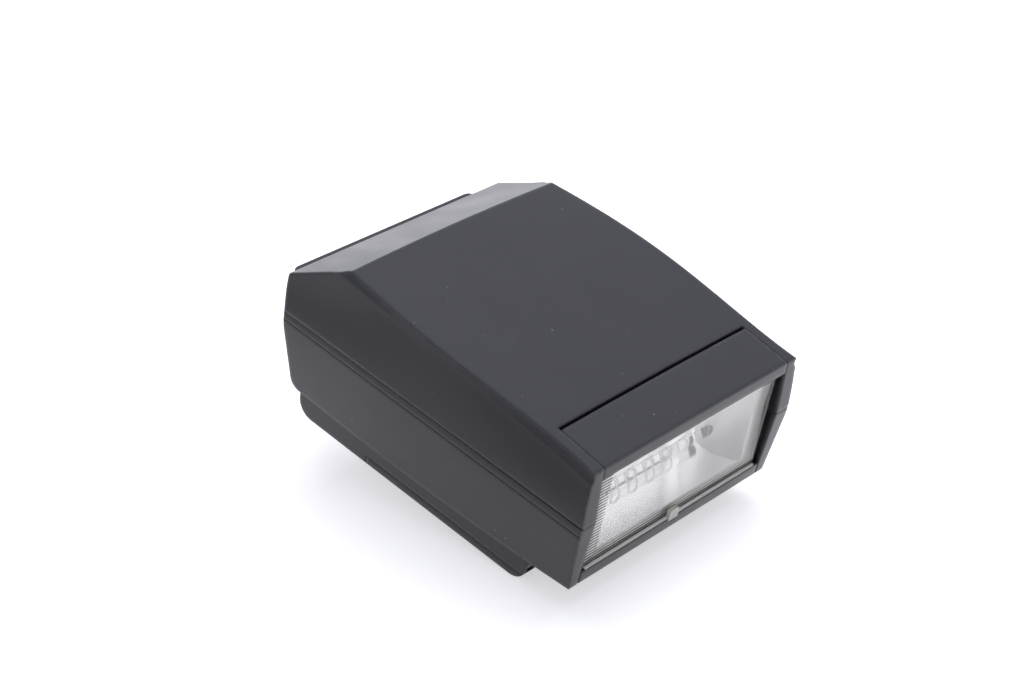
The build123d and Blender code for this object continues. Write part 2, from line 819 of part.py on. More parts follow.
with BuildPart() as trigger_band:
    for place in (-2, -1, 0, 1, 2):
        with BuildSketch(Plane.YZ.offset(place * wire_pitch)):
            with Locations((tube_y, window_mid_z)):
                Circle(tube_radius + bore_clearance + 2 * wire_radius)
                Circle(tube_radius + bore_clearance, mode=Mode.SUBTRACT)
        extrude(amount=2 * wire_radius)
trigger_band.part.label = "trigger_band"
export_step(trigger_band.part, "parts/trigger_band.step")

# ---------------------------------------------------------------- batteries
cell_axis_z = floor_inside_z + cell_gap + cell_diameter / 2
cell_spacing = cell_diameter + cell_gap
cell_rear_y = cell_front_y + cell_length
cell_places = [(k - (cell_count - 1) / 2) * cell_spacing for k in range(cell_count)]
box_front_y = bay_front_y + 0.2
box_rear_y = cell_rear_y + contact_room + box_wall
box_half_width = bay_half_width - 0.2
flange_seat = 0.15
channel_radius = cell_diameter / 2 + cell_gap
post_radius = 2.0
board_low_z = 30.6
board_thickness = 1.6
spring_half = 5.0
spring_height = 6.0
box_post_places = [(-24, -36), (24, -36), (-24, -6), (24, -6)]

with BuildPart() as battery_box:
    add(block(-box_half_width, box_half_width, box_front_y, box_rear_y, box_low_z, box_top_z))
    for side in (-1, 1):
        near = side * box_half_width
        far = side * (bay_half_width + 1.2)
        add(
            block(
                min(near, far), max(near, far), shelf_front_y, shelf_rear_y, shelf_z + flange_seat,
                shelf_z + flange_seat + box_wall,
            )
        )
    # four channels, open below, and room for the contacts at both ends
    with BuildSketch(Plane.XZ.offset(-(box_front_y + box_wall))):
        with Locations(*[(x, cell_axis_z) for x in cell_places]):
            Circle(channel_radius)
        with Locations(*[(x, cell_axis_z - cell_diameter / 2) for x in cell_places]):
            Rectangle(2 * channel_radius, cell_diameter)
    extrude(amount=-(box_rear_y - box_front_y - 2 * box_wall), mode=Mode.SUBTRACT)
    add(
        block(
            cell_places[0], cell_places[-1], box_front_y + box_wall, box_front_y + box_wall + 2 * contact_strip,
            cell_axis_z - spring_height / 2 - fit_gap, cell_axis_z + spring_height / 2 + fit_gap,
        ),
        mode=Mode.SUBTRACT,
    )
    with BuildSketch(Plane.XY.offset(box_top_z)):
        with Locations(*box_post_places):
            Circle(post_radius)
    extrude(amount=board_low_z - box_top_z)
battery_box.part.label = "battery_box"
export_step(battery_box.part, "parts/battery_box.step")

for number, x in enumerate(cell_places, start=1):
    facing = 1 if number % 2 else -1
    body_length = cell_length - cell_nub_length
    start_y = cell_front_y if facing == 1 else cell_rear_y
    with BuildPart() as cell:
        with BuildSketch(Plane.XZ.offset(-start_y)):
            with Locations((x, cell_axis_z)):
                Circle(cell_diameter / 2)
        extrude(amount=-facing * body_length)
        chamfer(cell.edges().filter_by(GeomType.CIRCLE), 0.5)
        with BuildSketch(Plane.XZ.offset(-(start_y + facing * body_length))):
            with Locations((x, cell_axis_z)):
                Circle(cell_nub_radius)
        extrude(amount=-facing * cell_nub_length)
    cell.part.label = f"cell_{number}"
    export_step(cell.part, f"parts/cell_{number}.step")

plate_rear_y = box_rear_y - box_wall - 0.1
spring_tip_y = cell_rear_y + fit_gap
with BuildPart() as battery_springs:
    for x in cell_places:
        with BuildSketch(Plane.XY.offset(cell_axis_z - spring_height / 2)):
            with BuildLine():
                ThreePointArc((x - spring_half, plate_rear_y), (x, spring_tip_y), (x + spring_half, plate_rear_y))
                Line((x + spring_half, plate_rear_y), (x + spring_half - contact_strip, plate_rear_y))
                ThreePointArc(
                    (x + spring_half - contact_strip, plate_rear_y), (x, spring_tip_y + contact_strip),
                    (x - spring_half + contact_strip, plate_rear_y),
                )
                Line((x - spring_half + contact_strip, plate_rear_y), (x - spring_half, plate_rear_y))
            make_face()
        extrude(amount=spring_height)
battery_springs.part.label = "battery_springs"
export_step(battery_springs.part, "parts/battery_springs.step")

plate_front_y = box_front_y + box_wall + 0.05
plate_half = 4.5
with BuildPart() as battery_contacts:
    for near, far in ((0, 0), (1, 2), (3, 3)):
        add(
            block(
                cell_places[near] - plate_half, cell_places[far] + plate_half, plate_front_y,
                plate_front_y + contact_strip, cell_axis_z - spring_height / 2, cell_axis_z + spring_height / 2,
            )
        )
battery_contacts.part.label = "battery_contacts"

# door under the pedestal: its nose, its floor and two hooked rails
grip_count = 7
grip_pitch = 1.6
grip_depth = 0.4
rail_front_y = bay_front_y + 0.6
rail_rear_y = door_rear_y - 1.5
with BuildPart() as battery_door:
    add(pedestal_outer)
    add(
        block(-half_width, half_width, pedestal_front_y - 1, door_rear_y - door_seam, pedestal_z - 1, door_high_z),
        mode=Mode.INTERSECT,
    )
    for side in (-1, 1):
        near = side * rail_inner_x
        far = side * rail_outer_x
        hook = side * hook_x
        add(block(min(near, far), max(near, far), rail_front_y, rail_rear_y, door_high_z - 0.1, rail_high_z))
        add(block(min(near, hook), max(near, hook), rail_front_y, rail_rear_y, hook_low_z, hook_high_z))
    # finger grip moulded across the underside near the rear edge
    with BuildSketch(Plane.YZ):
        for k in range(grip_count):
            with Locations((door_rear_y - 6 - k * grip_pitch, pedestal_z)):
                Rectangle(grip_pitch / 2, 2 * grip_depth)
    extrude(amount=9, both=True, mode=Mode.SUBTRACT)
battery_door.part.label = "battery_door"
export_step(battery_door.part, "parts/battery_door.step")
export_step(battery_contacts.part, "parts/battery_contacts.step")

# ---------------------------------------------------------------- electronics over the battery box
board_half_width = half_width - 7.5
board_front_y = -39.0
board_rear_y = 11.5
board_top_z = board_low_z + board_thickness
with BuildPart() as main_board:
    add(block(-board_half_width, board_half_width, board_front_y, board_rear_y, board_low_z, board_top_z))
    with BuildSketch(Plane.XY.offset(board_low_z)):
        with Locations(*bosses):
            Circle(boss_radius + 0.5)
    extrude(amount=board_thickness, mode=Mode.SUBTRACT)
main_board.part.label = "main_board"
export_step(main_board.part, "parts/main_board.step")

capacitor_radius = 9.5
capacitor_half_length = 20.0
capacitor_y = -33.0
part_gap = 0.15
with BuildPart() as main_capacitor:
    with BuildSketch(Plane.YZ):
        with Locations((capacitor_y, board_top_z + capacitor_radius + part_gap)):
            Circle(capacitor_radius)
    extrude(amount=capacitor_half_length, both=True)
    fillet(main_capacitor.edges().filter_by(GeomType.CIRCLE), 1.0)
main_capacitor.part.label = "main_capacitor"
export_step(main_capacitor.part, "parts/main_capacitor.step")

transformer_x = -17.0
flange_length = 14.0        # of the transformer's two plates
flange_depth = 12.0
parts_y = -12.0
with BuildPart() as transformer:
    with BuildSketch(Plane.XY.offset(board_top_z)):
        with Locations((transformer_x, parts_y)):
            Rectangle(flange_length, flange_depth)
    extrude(amount=3)
    with BuildSketch(Plane.XY.offset(board_top_z + 3)):
        with Locations((transformer_x, parts_y)):
            Circle(4.6)
    extrude(amount=6)
    with BuildSketch(Plane.XY.offset(board_top_z + 9)):
        with Locations((transformer_x, parts_y)):
            Rectangle(flange_length, flange_depth)
    extrude(amount=3)
transformer.part.label = "transformer"
export_step(transformer.part, "parts/transformer.step")

coil_x = 16.0
with BuildPart() as trigger_coil:
    with BuildSketch(Plane.XY.offset(board_top_z)):
        with Locations((coil_x, parts_y)):
            Circle(4.5)
    extrude(amount=11)
    fillet(trigger_coil.edges().group_by(Axis.Z)[-1], 1.0)
trigger_coil.part.label = "trigger_coil"
export_step(trigger_coil.part, "parts/trigger_coil.step")

with BuildPart() as power_transistor:
    add(block(-5, 5, parts_y, parts_y + 4.4, board_top_z, board_top_z + 9))
    add(block(-5, 5, parts_y + 3.1, parts_y + 4.4, board_top_z + 8.9, board_top_z + 15))
    with BuildSketch(Plane.XZ.offset(-parts_y)):
        with Locations((0, board_top_z + 12)):
            Circle(1.8)
    extrude(amount=-6, mode=Mode.SUBTRACT)
power_transistor.part.label = "power_transistor"
export_step(power_transistor.part, "parts/power_transistor.step")

# ---------------------------------------------------------------- shoe foot
neck_length = 16.0
post_radius_foot = 8.0
rail_top_z = foot_thickness + rail_gap
washer_low_z = rail_top_z + 0.15
wheel_low_z = washer_low_z + washer_thickness + 0.2
neck_high_z = wheel_low_z - 0.1
insert_width = 8.6
insert_length = 10.4
insert_y = 0.9
insert_depth = 4.6
pin_y = -6.3
lock_pin_radius = 1.0
contact_radius = 1.5
small_contact_radius = 0.7
small_contacts = [(-2.9, 3.6), (0, 4.7), (2.9, 3.6)]
contact_reach = 0.4
contact_length = 3.4

with BuildPart() as shoe_foot:
    with BuildSketch():
        RectangleRounded(foot_width, foot_length, 1.0)
    extrude(amount=foot_thickness)
    chamfer(shoe_foot.edges().group_by(Axis.Z)[0].group_by(Axis.Y)[0], 0.6)
    with BuildSketch(Plane.XY.offset(foot_thickness)):
        RectangleRounded(neck_width, neck_length, 1.0)
    extrude(amount=neck_high_z - foot_thickness)
    with BuildSketch(Plane.XY.offset(neck_high_z)):
        Circle(post_radius_foot)
    extrude(amount=pedestal_z - neck_high_z)
    with BuildSketch():
        with Locations((0, insert_y)):
            Rectangle(insert_width + 2 * running_gap, insert_length + 2 * running_gap)
    extrude(amount=insert_depth + running_gap, mode=Mode.SUBTRACT)
    with BuildSketch():
        Circle(wire_hole_radius)
    extrude(amount=pedestal_z, mode=Mode.SUBTRACT)
    with BuildSketch():
        with Locations((0, pin_y)):
            Circle(lock_pin_radius + running_gap)
    extrude(amount=neck_high_z, mode=Mode.SUBTRACT)
    with BuildSketch(Plane.XY.offset(pedestal_z)):
        with Locations(*foot_screw_places):
            Circle(foot_screw_radius + 0.1)
    extrude(amount=-(pedestal_z - neck_high_z), mode=Mode.SUBTRACT)
shoe_foot.part.label = "shoe_foot"
export_step(shoe_foot.part, "parts/shoe_foot.step")

with BuildPart() as contact_block:
    with BuildSketch():
        with Locations((0, insert_y)):
            Rectangle(insert_width, insert_length)
    extrude(amount=insert_depth)
    with BuildSketch():
        Circle(contact_radius + running_gap)
        with Locations(*small_contacts):
            Circle(small_contact_radius + running_gap)
    extrude(amount=insert_depth - 0.6, mode=Mode.SUBTRACT)
contact_block.part.label = "contact_block"
export_step(contact_block.part, "parts/contact_block.step")

contact_places = [("centre_contact", 0, 0, contact_radius)] + [
    (f"data_contact_{k}", x, y, small_contact_radius) for k, (x, y) in enumerate(small_contacts, start=1)
]
for name, x, y, radius in contact_places:
    with BuildPart() as contact:
        with BuildSketch(Plane.XY.offset(-contact_reach)):
            with Locations((x, y)):
                Circle(radius)
        extrude(amount=contact_length)
        fillet(contact.edges().group_by(Axis.Z)[0], radius * 0.4)
    contact.part.label = name
    export_step(contact.part, f"parts/{name}.step")

with BuildPart() as lock_pin:
    with BuildSketch(Plane.XY.offset(0.1)):
        with Locations((0, pin_y)):
            Circle(lock_pin_radius)
    extrude(amount=neck_high_z - 0.6)
    fillet(lock_pin.edges().group_by(Axis.Z)[0], 0.3)
lock_pin.part.label = "lock_pin"
export_step(lock_pin.part, "parts/lock_pin.step")

with BuildPart() as lock_washer:
    with BuildSketch(Plane.XY.offset(washer_low_z)):
        Circle(washer_radius)
        RectangleRounded(neck_width + 4 * running_gap, neck_length + 4 * running_gap, 1.0, mode=Mode.SUBTRACT)
    extrude(amount=washer_thickness)
lock_washer.part.label = "lock_washer"
export_step(lock_washer.part, "parts/lock_washer.step")

with BuildPart() as lock_wheel:
    with BuildSketch(Plane.XY.offset(wheel_low_z)):
        Circle(wheel_radius)
        Circle(post_radius_foot + running_gap, mode=Mode.SUBTRACT)
        with PolarLocations(wheel_radius, wheel_teeth):
            Rectangle(0.9, 1.1, mode=Mode.SUBTRACT)
    extrude(amount=wheel_thickness)
lock_wheel.part.label = "lock_wheel"
export_step(lock_wheel.part, "parts/lock_wheel.step")

with BuildPart() as foot_screws:
    with BuildSketch(Plane.XY.offset(neck_high_z + 0.4)):
        with Locations(*foot_screw_places):
            Circle(foot_screw_radius)
    extrude(amount=floor_inside_z - neck_high_z - 0.4)
    with BuildSketch(Plane.XY.offset(floor_inside_z)):
        with Locations(*foot_screw_places):
            Circle(1.7)
    extrude(amount=1.2)
foot_screws.part.label = "foot_screws"
export_step(foot_screws.part, "parts/foot_screws.step")

with BuildPart() as housing_screws:
    seat_z = boss_low_z - 4
    with BuildSketch(Plane.XY.offset(seat_z)):
        with Locations(*bosses):
            Circle(screw_radius)
    extrude(amount=12)
    with BuildSketch(Plane.XY.offset(seat_z)):
        with Locations(*bosses):
            Circle(counterbore_radius - 0.3)
    extrude(amount=-1.6)
housing_screws.part.label = "housing_screws"
export_step(housing_screws.part, "parts/housing_screws.step")

# ---------------------------------------------------------------- control panel on the rear wall
panel_seat_gap = 0.1
skin_inside_y = panel_face_y - panel_skin
panel_boss_radius = 1.9
board_post_places = [(x, z) for x in (-24, 24) for z in (28.2, 36.5)]
board_post_radius = 1.4
control_front_y = rear_y - 1.6
control_thickness = 1.2
control_rear_y = control_front_y + control_thickness
display_x0, display_x1 = -22.0, 2.0
display_z0, display_z1 = 31.0, 42.0
window_ledge = 1.0
window_inset = 1.0
key_x = {"zoom_button": -18.0, "level_button": -9.5, "lamp_button": -1.0}
key_z = 28.3
key_length = 7.0
key_height = 3.6
key_flange = 0.7
test_x = 17.0
test_z = 38.0
test_radius = 3.3
lamp_x = 8.6
lamp_radius = 1.6
switch_x = 15.0
switch_z = 28.4
switch_travel = 5.0
switch_knob = 5.0
switch_height = 3.0
key_gap = 0.12
shell_solid = cover_form(-panel_seat_gap, front_y - 1) + housing_form(-panel_seat_gap, front_y - 1)

with BuildPart() as rear_panel:
    add(block(-panel_half_width, panel_half_width, rear_y - 5, panel_face_y, panel_low_z, panel_high_z))
    fillet(rear_panel.edges().filter_by(Axis.Z).group_by(Axis.Y)[-1], 2.2)
    fillet(rear_panel.faces().sort_by(Axis.Y)[-1].edges(), 0.4)
    add(
        block(
            -panel_half_width + panel_skin, panel_half_width - panel_skin, rear_y - 6, skin_inside_y,
            panel_low_z + panel_skin, panel_high_z - panel_skin,
        ),
        mode=Mode.SUBTRACT,
    )
    with BuildSketch(Plane.XZ.offset(-skin_inside_y)):
        with Locations(*panel_screw_places):
            Circle(panel_boss_radius)
    extrude(amount=8)
    with BuildSketch(Plane.XZ.offset(-skin_inside_y)):
        with Locations(*board_post_places):
            Circle(board_post_radius)
    extrude(amount=skin_inside_y - control_rear_y)
    add(shell_solid, mode=Mode.SUBTRACT)
    with BuildSketch(Plane.XZ.offset(-(skin_inside_y - 0.6))):
        with Locations(*panel_screw_places):
            Circle(screw_radius - 0.1)
        with Locations(*board_post_places):
            Circle(0.7)
    extrude(amount=8, mode=Mode.SUBTRACT)
    # openings: display, keys, lamp, test button and switch
    with BuildSketch(Plane.XZ.offset(-(panel_face_y + 1))):
        with Locations(((display_x0 + display_x1) / 2, (display_z0 + display_z1) / 2)):
            Rectangle(
                display_x1 - display_x0 - 2 * window_ledge, display_z1 - display_z0 - 2 * window_ledge,
            )
        for x in key_x.values():
            with Locations((x, key_z)):
                SlotOverall(key_length + 2 * key_gap, key_height + 2 * key_gap)
        with Locations((lamp_x, test_z)):
            Circle(lamp_radius + running_gap)
        with Locations((test_x, test_z)):
            Circle(test_radius + key_gap)
        with Locations((switch_x, switch_z)):
            SlotOverall(switch_knob + switch_travel + 2 * fit_gap, switch_height + 2 * key_gap)
    extrude(amount=panel_skin + 2, mode=Mode.SUBTRACT)
    with BuildSketch(Plane.XZ.offset(-(panel_face_y + 1))):
        with Locations(((display_x0 + display_x1) / 2, (display_z0 + display_z1) / 2)):
            Rectangle(display_x1 - display_x0 + 2 * key_gap, display_z1 - display_z0 + 2 * key_gap)
    extrude(amount=window_inset + 1, mode=Mode.SUBTRACT)
rear_panel.part.label = "rear_panel"
export_step(rear_panel.part, "parts/rear_panel.step")

with BuildPart() as display_window:
    add(block(display_x0, display_x1, panel_face_y - window_inset, panel_face_y, display_z0, display_z1))
display_window.part.label = "display_window"
export_step(display_window.part, "parts/display_window.step")

display_thickness = 1.9
display_inset = 0.3
with BuildPart() as display:
    add(
        block(
            display_x0 + display_inset, display_x1 - display_inset, skin_inside_y - display_thickness - 0.05,
            skin_inside_y - 0.05, display_z0, display_z1,
        )
    )
display.part.label = "display"
export_step(display.part, "parts/display.step")

strip_height = 1.4
with BuildPart() as display_connectors:
    for z in (display_z0 + 0.2, display_z1 - 0.2 - strip_height):
        add(
            block(
                display_x0 + 2, display_x1 - 2, control_rear_y + 0.05, skin_inside_y - display_thickness - 0.1,
                z, z + strip_height,
            )
        )
display_connectors.part.label = "display_connectors"
export_step(display_connectors.part, "parts/display_connectors.step")

with BuildPart() as control_board:
    add(
        block(
            -opening_half_width + 0.3, opening_half_width - 0.3, control_front_y, control_rear_y,
            opening_low_z + 0.2, opening_high_z - 0.2,
        )
    )
    with BuildSketch(Plane.XZ.offset(-(control_rear_y + 1))):
        with Locations(*board_post_places):
            Circle(0.75)
    extrude(amount=4, mode=Mode.SUBTRACT)
control_board.part.label = "control_board"
export_step(control_board.part, "parts/control_board.step")

with BuildPart() as board_screws:
    with BuildSketch(Plane.XZ.offset(-control_front_y)):
        with Locations(*board_post_places):
            Circle(1.4)
    extrude(amount=0.8)
    with BuildSketch(Plane.XZ.offset(-control_front_y)):
        with Locations(*board_post_places):
            Circle(0.65)
    extrude(amount=-3.6)
board_screws.part.label = "board_screws"
export_step(board_screws.part, "parts/board_screws.step")

plunger_y = control_rear_y + 0.9
with BuildPart() as key_switches:
    with BuildSketch(Plane.XZ.offset(-control_rear_y)):
        with Locations(*[(x, key_z) for x in key_x.values()], (test_x, test_z)):
            Rectangle(4.6, 3.4)
    extrude(amount=-0.6)
    with BuildSketch(Plane.XZ.offset(-(control_rear_y + 0.6))):
        with Locations(*[(x, key_z) for x in key_x.values()], (test_x, test_z)):
            Circle(1.2)
    extrude(amount=-0.3)
key_switches.part.label = "key_switches"
export_step(key_switches.part, "parts/key_switches.step")

# keys: a cap through the panel, a flange that traps it and a stem over its switch
flange_gap = 0.2
key_flange_thickness = 0.8
flange_rear = skin_inside_y - flange_gap
flange_front = flange_rear - key_flange_thickness
stem_tip_y = plunger_y + button_travel + fit_gap
cap_y = panel_face_y + button_travel
stem_radius = 1.3
for name, x in key_x.items():
    with BuildPart() as key:
        with BuildSketch(Plane.XZ.offset(-flange_front)):
            with Locations((x, key_z)):
                SlotOverall(key_length, key_height)
        extrude(amount=-(cap_y - flange_front))
        fillet(key.faces().sort_by(Axis.Y)[-1].edges(), 0.5)
        with BuildSketch(Plane.XZ.offset(-flange_front)):
            with Locations((x, key_z)):
                SlotOverall(key_length + 2 * key_flange, key_height + 2 * key_flange)
        extrude(amount=-key_flange_thickness)
        with BuildSketch(Plane.XZ.offset(-flange_front)):
            with Locations((x, key_z)):
                Circle(stem_radius)
        extrude(amount=flange_front - stem_tip_y)
    key.part.label = name
    export_step(key.part, f"parts/{name}.step")

with BuildPart() as test_button:
    with BuildSketch(Plane.XZ.offset(-flange_front)):
        with Locations((test_x, test_z)):
            Circle(test_radius)
    extrude(amount=-(cap_y - flange_front))
    fillet(test_button.faces().sort_by(Axis.Y)[-1].edges(), 0.5)
    with BuildSketch(Plane.XZ.offset(-flange_front)):
        with Locations((test_x, test_z)):
            Circle(test_radius + key_flange)
    extrude(amount=-key_flange_thickness)
    with BuildSketch(Plane.XZ.offset(-flange_front)):
        with Locations((test_x, test_z)):
            Circle(stem_radius)
    extrude(amount=flange_front - stem_tip_y)
test_button.part.label = "test_button"
export_step(test_button.part, "parts/test_button.step")

with BuildPart() as ready_lamp:
    with BuildSketch(Plane.XZ.offset(-flange_front)):
        with Locations((lamp_x, test_z)):
            Circle(lamp_radius)
    extrude(amount=-(panel_face_y + 0.4 - flange_front))
    fillet(ready_lamp.faces().sort_by(Axis.Y)[-1].edges(), 0.35)
    with BuildSketch(Plane.XZ.offset(-flange_front)):
        with Locations((lamp_x, test_z)):
            Circle(lamp_radius + key_flange)
    extrude(amount=-key_flange_thickness)
ready_lamp.part.label = "ready_lamp"
export_step(ready_lamp.part, "parts/ready_lamp.step")

with BuildPart() as ready_led:
    with BuildSketch(Plane.XZ.offset(-control_rear_y)):
        with Locations((lamp_x, test_z)):
            Circle(1.2)
    extrude(amount=-(flange_front - fit_gap - control_rear_y))
ready_led.part.label = "ready_led"
export_step(ready_led.part, "parts/ready_led.step")

slide_body_y = control_rear_y + 1.9
knob_plate_y = slide_body_y + fit_gap
knob_start_x = switch_x - switch_travel / 2
with BuildPart() as slide_switch:
    add(block(switch_x - 5, switch_x + 5, control_rear_y, slide_body_y, switch_z - 1.8, switch_z + 1.8))
slide_switch.part.label = "slide_switch"
export_step(slide_switch.part, "parts/slide_switch.step")

with BuildPart() as power_switch:
    with BuildSketch(Plane.XZ.offset(-knob_plate_y)):
        with Locations((knob_start_x, switch_z)):
            SlotOverall(switch_knob, switch_height)
    extrude(amount=-(panel_face_y + 1 - knob_plate_y))
    for k in (-1, 0, 1):
        with BuildSketch(Plane.XZ.offset(-(panel_face_y + 1.5))):
            with Locations((knob_start_x + k, switch_z)):
                Rectangle(0.45, switch_height + 1)
        extrude(amount=0.9, mode=Mode.SUBTRACT)
    with BuildSketch(Plane.XZ.offset(-knob_plate_y)):
        with Locations((knob_start_x, switch_z)):
            Rectangle(switch_knob + 3, switch_height + 1.4)
    extrude(amount=-(flange_rear - knob_plate_y))
power_switch.part.label = "power_switch"
export_step(power_switch.part, "parts/power_switch.step")

with BuildPart() as panel_screws:
    for z, seat in ((panel_screw_low_z, low_seat_y), (panel_screw_high_z, rear_y - wall)):
        with BuildSketch(Plane.XZ.offset(-seat)):
            with Locations((-panel_screw_x, z), (panel_screw_x, z)):
                Circle(spot_radius - 0.3)
        extrude(amount=1.4)
        with BuildSketch(Plane.XZ.offset(-seat)):
            with Locations((-panel_screw_x, z), (panel_screw_x, z)):
                Circle(screw_radius - 0.15)
        extrude(amount=-(skin_inside_y - 1.2 - seat))
panel_screws.part.label = "panel_screws"
export_step(panel_screws.part, "parts/panel_screws.step")

# leaf springs between the housing's walls and the sleeve: the head's detent
leaf_front_y = -56.0
leaf_rear_y = -46.0
leaf_low_z = 30.0
leaf_high_z = 32.4
leaf_root_x = 32.2
leaf_tip_x = sleeve_x + 2 * fit_gap
with BuildPart() as head_detent:
    for side in (-1, 1):
        middle_y = (leaf_front_y + leaf_rear_y) / 2
        with BuildSketch(Plane.XY.offset(leaf_low_z)):
            with BuildLine():
                ThreePointArc(
                    (side * leaf_root_x, leaf_front_y), (side * leaf_tip_x, middle_y), (side * leaf_root_x, leaf_rear_y),
                )
                Line((side * leaf_root_x, leaf_rear_y), (side * leaf_root_x, leaf_rear_y - 2 * contact_strip))
                ThreePointArc(
                    (side * leaf_root_x, leaf_rear_y - 2 * contact_strip),
                    (side * (leaf_tip_x + contact_strip), middle_y),
                    (side * leaf_root_x, leaf_front_y + 2 * contact_strip),
                )
                Line((side * leaf_root_x, leaf_front_y + 2 * contact_strip), (side * leaf_root_x, leaf_front_y))
            make_face()
        extrude(amount=leaf_high_z - leaf_low_z)
head_detent.part.label = "head_detent"
export_step(head_detent.part, "parts/head_detent.step")
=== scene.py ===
# %% [markdown]
# # Compact shoe-mount flash
#
# The flash is a wedge of dark moulded plastic: two shells, a sliding head with a clear grooved
# window, a battery pedestal underneath and a metal shoe foot. Its solid parts come from the
# imported model, so this lesson is about finishes and light. We load the parts first, and print
# the size of the whole as it comes.

# %% Load the imported parts
import bpy
import json
from math import atan2, cos, degrees, radians, sin
from mathutils import Matrix, Vector


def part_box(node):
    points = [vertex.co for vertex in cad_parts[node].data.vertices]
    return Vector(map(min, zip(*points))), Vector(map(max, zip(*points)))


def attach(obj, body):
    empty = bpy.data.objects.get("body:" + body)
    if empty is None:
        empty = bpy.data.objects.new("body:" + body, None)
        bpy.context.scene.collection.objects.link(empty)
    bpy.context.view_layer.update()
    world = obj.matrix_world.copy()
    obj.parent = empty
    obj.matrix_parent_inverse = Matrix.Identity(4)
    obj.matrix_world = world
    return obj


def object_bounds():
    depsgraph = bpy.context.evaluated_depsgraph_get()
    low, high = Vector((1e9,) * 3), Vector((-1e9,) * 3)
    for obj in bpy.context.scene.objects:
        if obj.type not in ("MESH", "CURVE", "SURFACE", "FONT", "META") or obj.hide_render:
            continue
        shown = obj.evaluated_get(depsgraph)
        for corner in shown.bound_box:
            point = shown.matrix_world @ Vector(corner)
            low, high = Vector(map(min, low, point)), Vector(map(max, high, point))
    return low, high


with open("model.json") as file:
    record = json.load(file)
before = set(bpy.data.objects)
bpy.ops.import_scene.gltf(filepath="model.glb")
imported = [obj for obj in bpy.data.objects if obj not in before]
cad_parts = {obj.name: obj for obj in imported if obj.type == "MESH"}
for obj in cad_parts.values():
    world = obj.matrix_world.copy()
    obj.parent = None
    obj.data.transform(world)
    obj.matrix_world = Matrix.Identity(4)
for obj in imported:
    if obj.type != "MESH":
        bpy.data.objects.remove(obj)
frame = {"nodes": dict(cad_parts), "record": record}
nodes = frame["nodes"]
cad_low, cad_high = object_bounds()
scene = bpy.context.scene
print("flash from", tuple(round(v, 4) for v in cad_low), "to", tuple(round(v, 4) for v in cad_high))

# %% [markdown]
# ## How the flash stands
#
# The foot is short, so the flash tips forward until the nose of its pedestal touches the table.
# The imported model is level on its foot. Rather than turn the model, we tilt the table: its plane
# touches the front edge of the foot and the round nose of the pedestal. Seen from the side, that
# is the steepest line from the foot's edge that leaves the front of the battery door above it, so
# we measure the slope to every corner of the door's mesh more than 3 cm ahead of the foot and
# keep the least.

# %% The table's slope
FOOT_CHAMFER = 0.0006
NOSE_REACH = 0.03
foot_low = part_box("shoe_foot")[0]
contact = Vector((0, foot_low.y + FOOT_CHAMFER, foot_low.z))
door_points = [vertex.co for vertex in nodes["battery_door"].data.vertices]
nose_points = [point for point in door_points if point.y < contact.y - NOSE_REACH]
lean = min(atan2(point.z - contact.z, contact.y - point.y) for point in nose_points)
to_part = Matrix.Rotation(-lean, 3, "X")
floor_normal = to_part @ Vector((0, 0, 1))
print("the flash leans", round(degrees(lean), 2), "degrees")

# %% [markdown]
# ## The camera
#
# A product is best shown from a little above and to one side, with a lens long enough to keep
# the edges nearly parallel. The angles are given over the table, so they turn with its slope,
# and the distance is counted from the middle of the flash.

# %% The camera
AZIMUTH = radians(-46.345)
ELEVATION = radians(28.735)
DISTANCE = 0.49695
AIM_RIGHT = -0.0020
AIM_UP = 0.00946
FOCAL_LENGTH = 75.6

middle = (Vector(cad_low) + Vector(cad_high)) / 2
back = to_part @ Vector((sin(AZIMUTH) * cos(ELEVATION), -cos(AZIMUTH) * cos(ELEVATION), sin(ELEVATION)))
right = floor_normal.cross(back).normalized()
up = back.cross(right)
camera_data = bpy.data.cameras.new("camera")
camera_data.lens = FOCAL_LENGTH
camera_data.sensor_width = 36
camera_data.clip_start = 0.01
camera = bpy.data.objects.new("camera", camera_data)
turn = Matrix((right, up, back)).transposed()
seat = middle + AIM_RIGHT * right + AIM_UP * up + DISTANCE * back
camera.matrix_world = Matrix.Translation(seat) @ turn.to_4x4()
scene.collection.objects.link(camera)
scene.camera = camera
scene.view_settings.view_transform = "Standard"
print("camera at", tuple(round(v, 3) for v in camera.matrix_world.translation))

# %% [markdown]
# ## Table, surroundings and lamps
#
# Small products are often shown in a white tent: everything round them is bright and
# soft. Two things stand for it here, a table and a dome. The table is a large sheet whose colour
# takes the shadow, with a glow that only the camera and the reflections see, so that it ends up
# white without throwing more light on the flash. In the reflections it fades towards the left, as if a grey
# card lay there: that keeps the long left side of the flash darker than its front. From below
# the table is clear, so that the foot and the door can be looked at too.
#
# Materials are built from nodes, which could be placed by hand in the editor. In a script a few
# short ways keep each finish readable: one starts a material, one links or sets a socket, and
# the rest make the nodes for sums, blends and ramps that nearly every finish needs.

# %% Short ways to make nodes
def new_material(name):
    """An empty node material with its shader and output."""
    material = bpy.data.materials.new(name)
    material.use_nodes = True
    tree = material.node_tree
    tree.nodes.clear()
    output = tree.nodes.new("ShaderNodeOutputMaterial")
    shader = tree.nodes.new("ShaderNodeBsdfPrincipled")
    tree.links.new(shader.outputs["BSDF"], output.inputs["Surface"])
    return material, tree, shader


def feed(tree, socket, value):
    """Link a socket to another, or set it to a plain value."""
    if isinstance(value, bpy.types.NodeSocket):
        tree.links.new(value, socket)
    else:
        socket.default_value = value


def maths(tree, operation, *values, clamp=False):
    """A Math node; returns its output."""
    node = tree.nodes.new("ShaderNodeMath")
    node.operation = operation
    node.use_clamp = clamp
    for socket, value in zip(node.inputs, values):
        feed(tree, socket, value)
    return node.outputs[0]


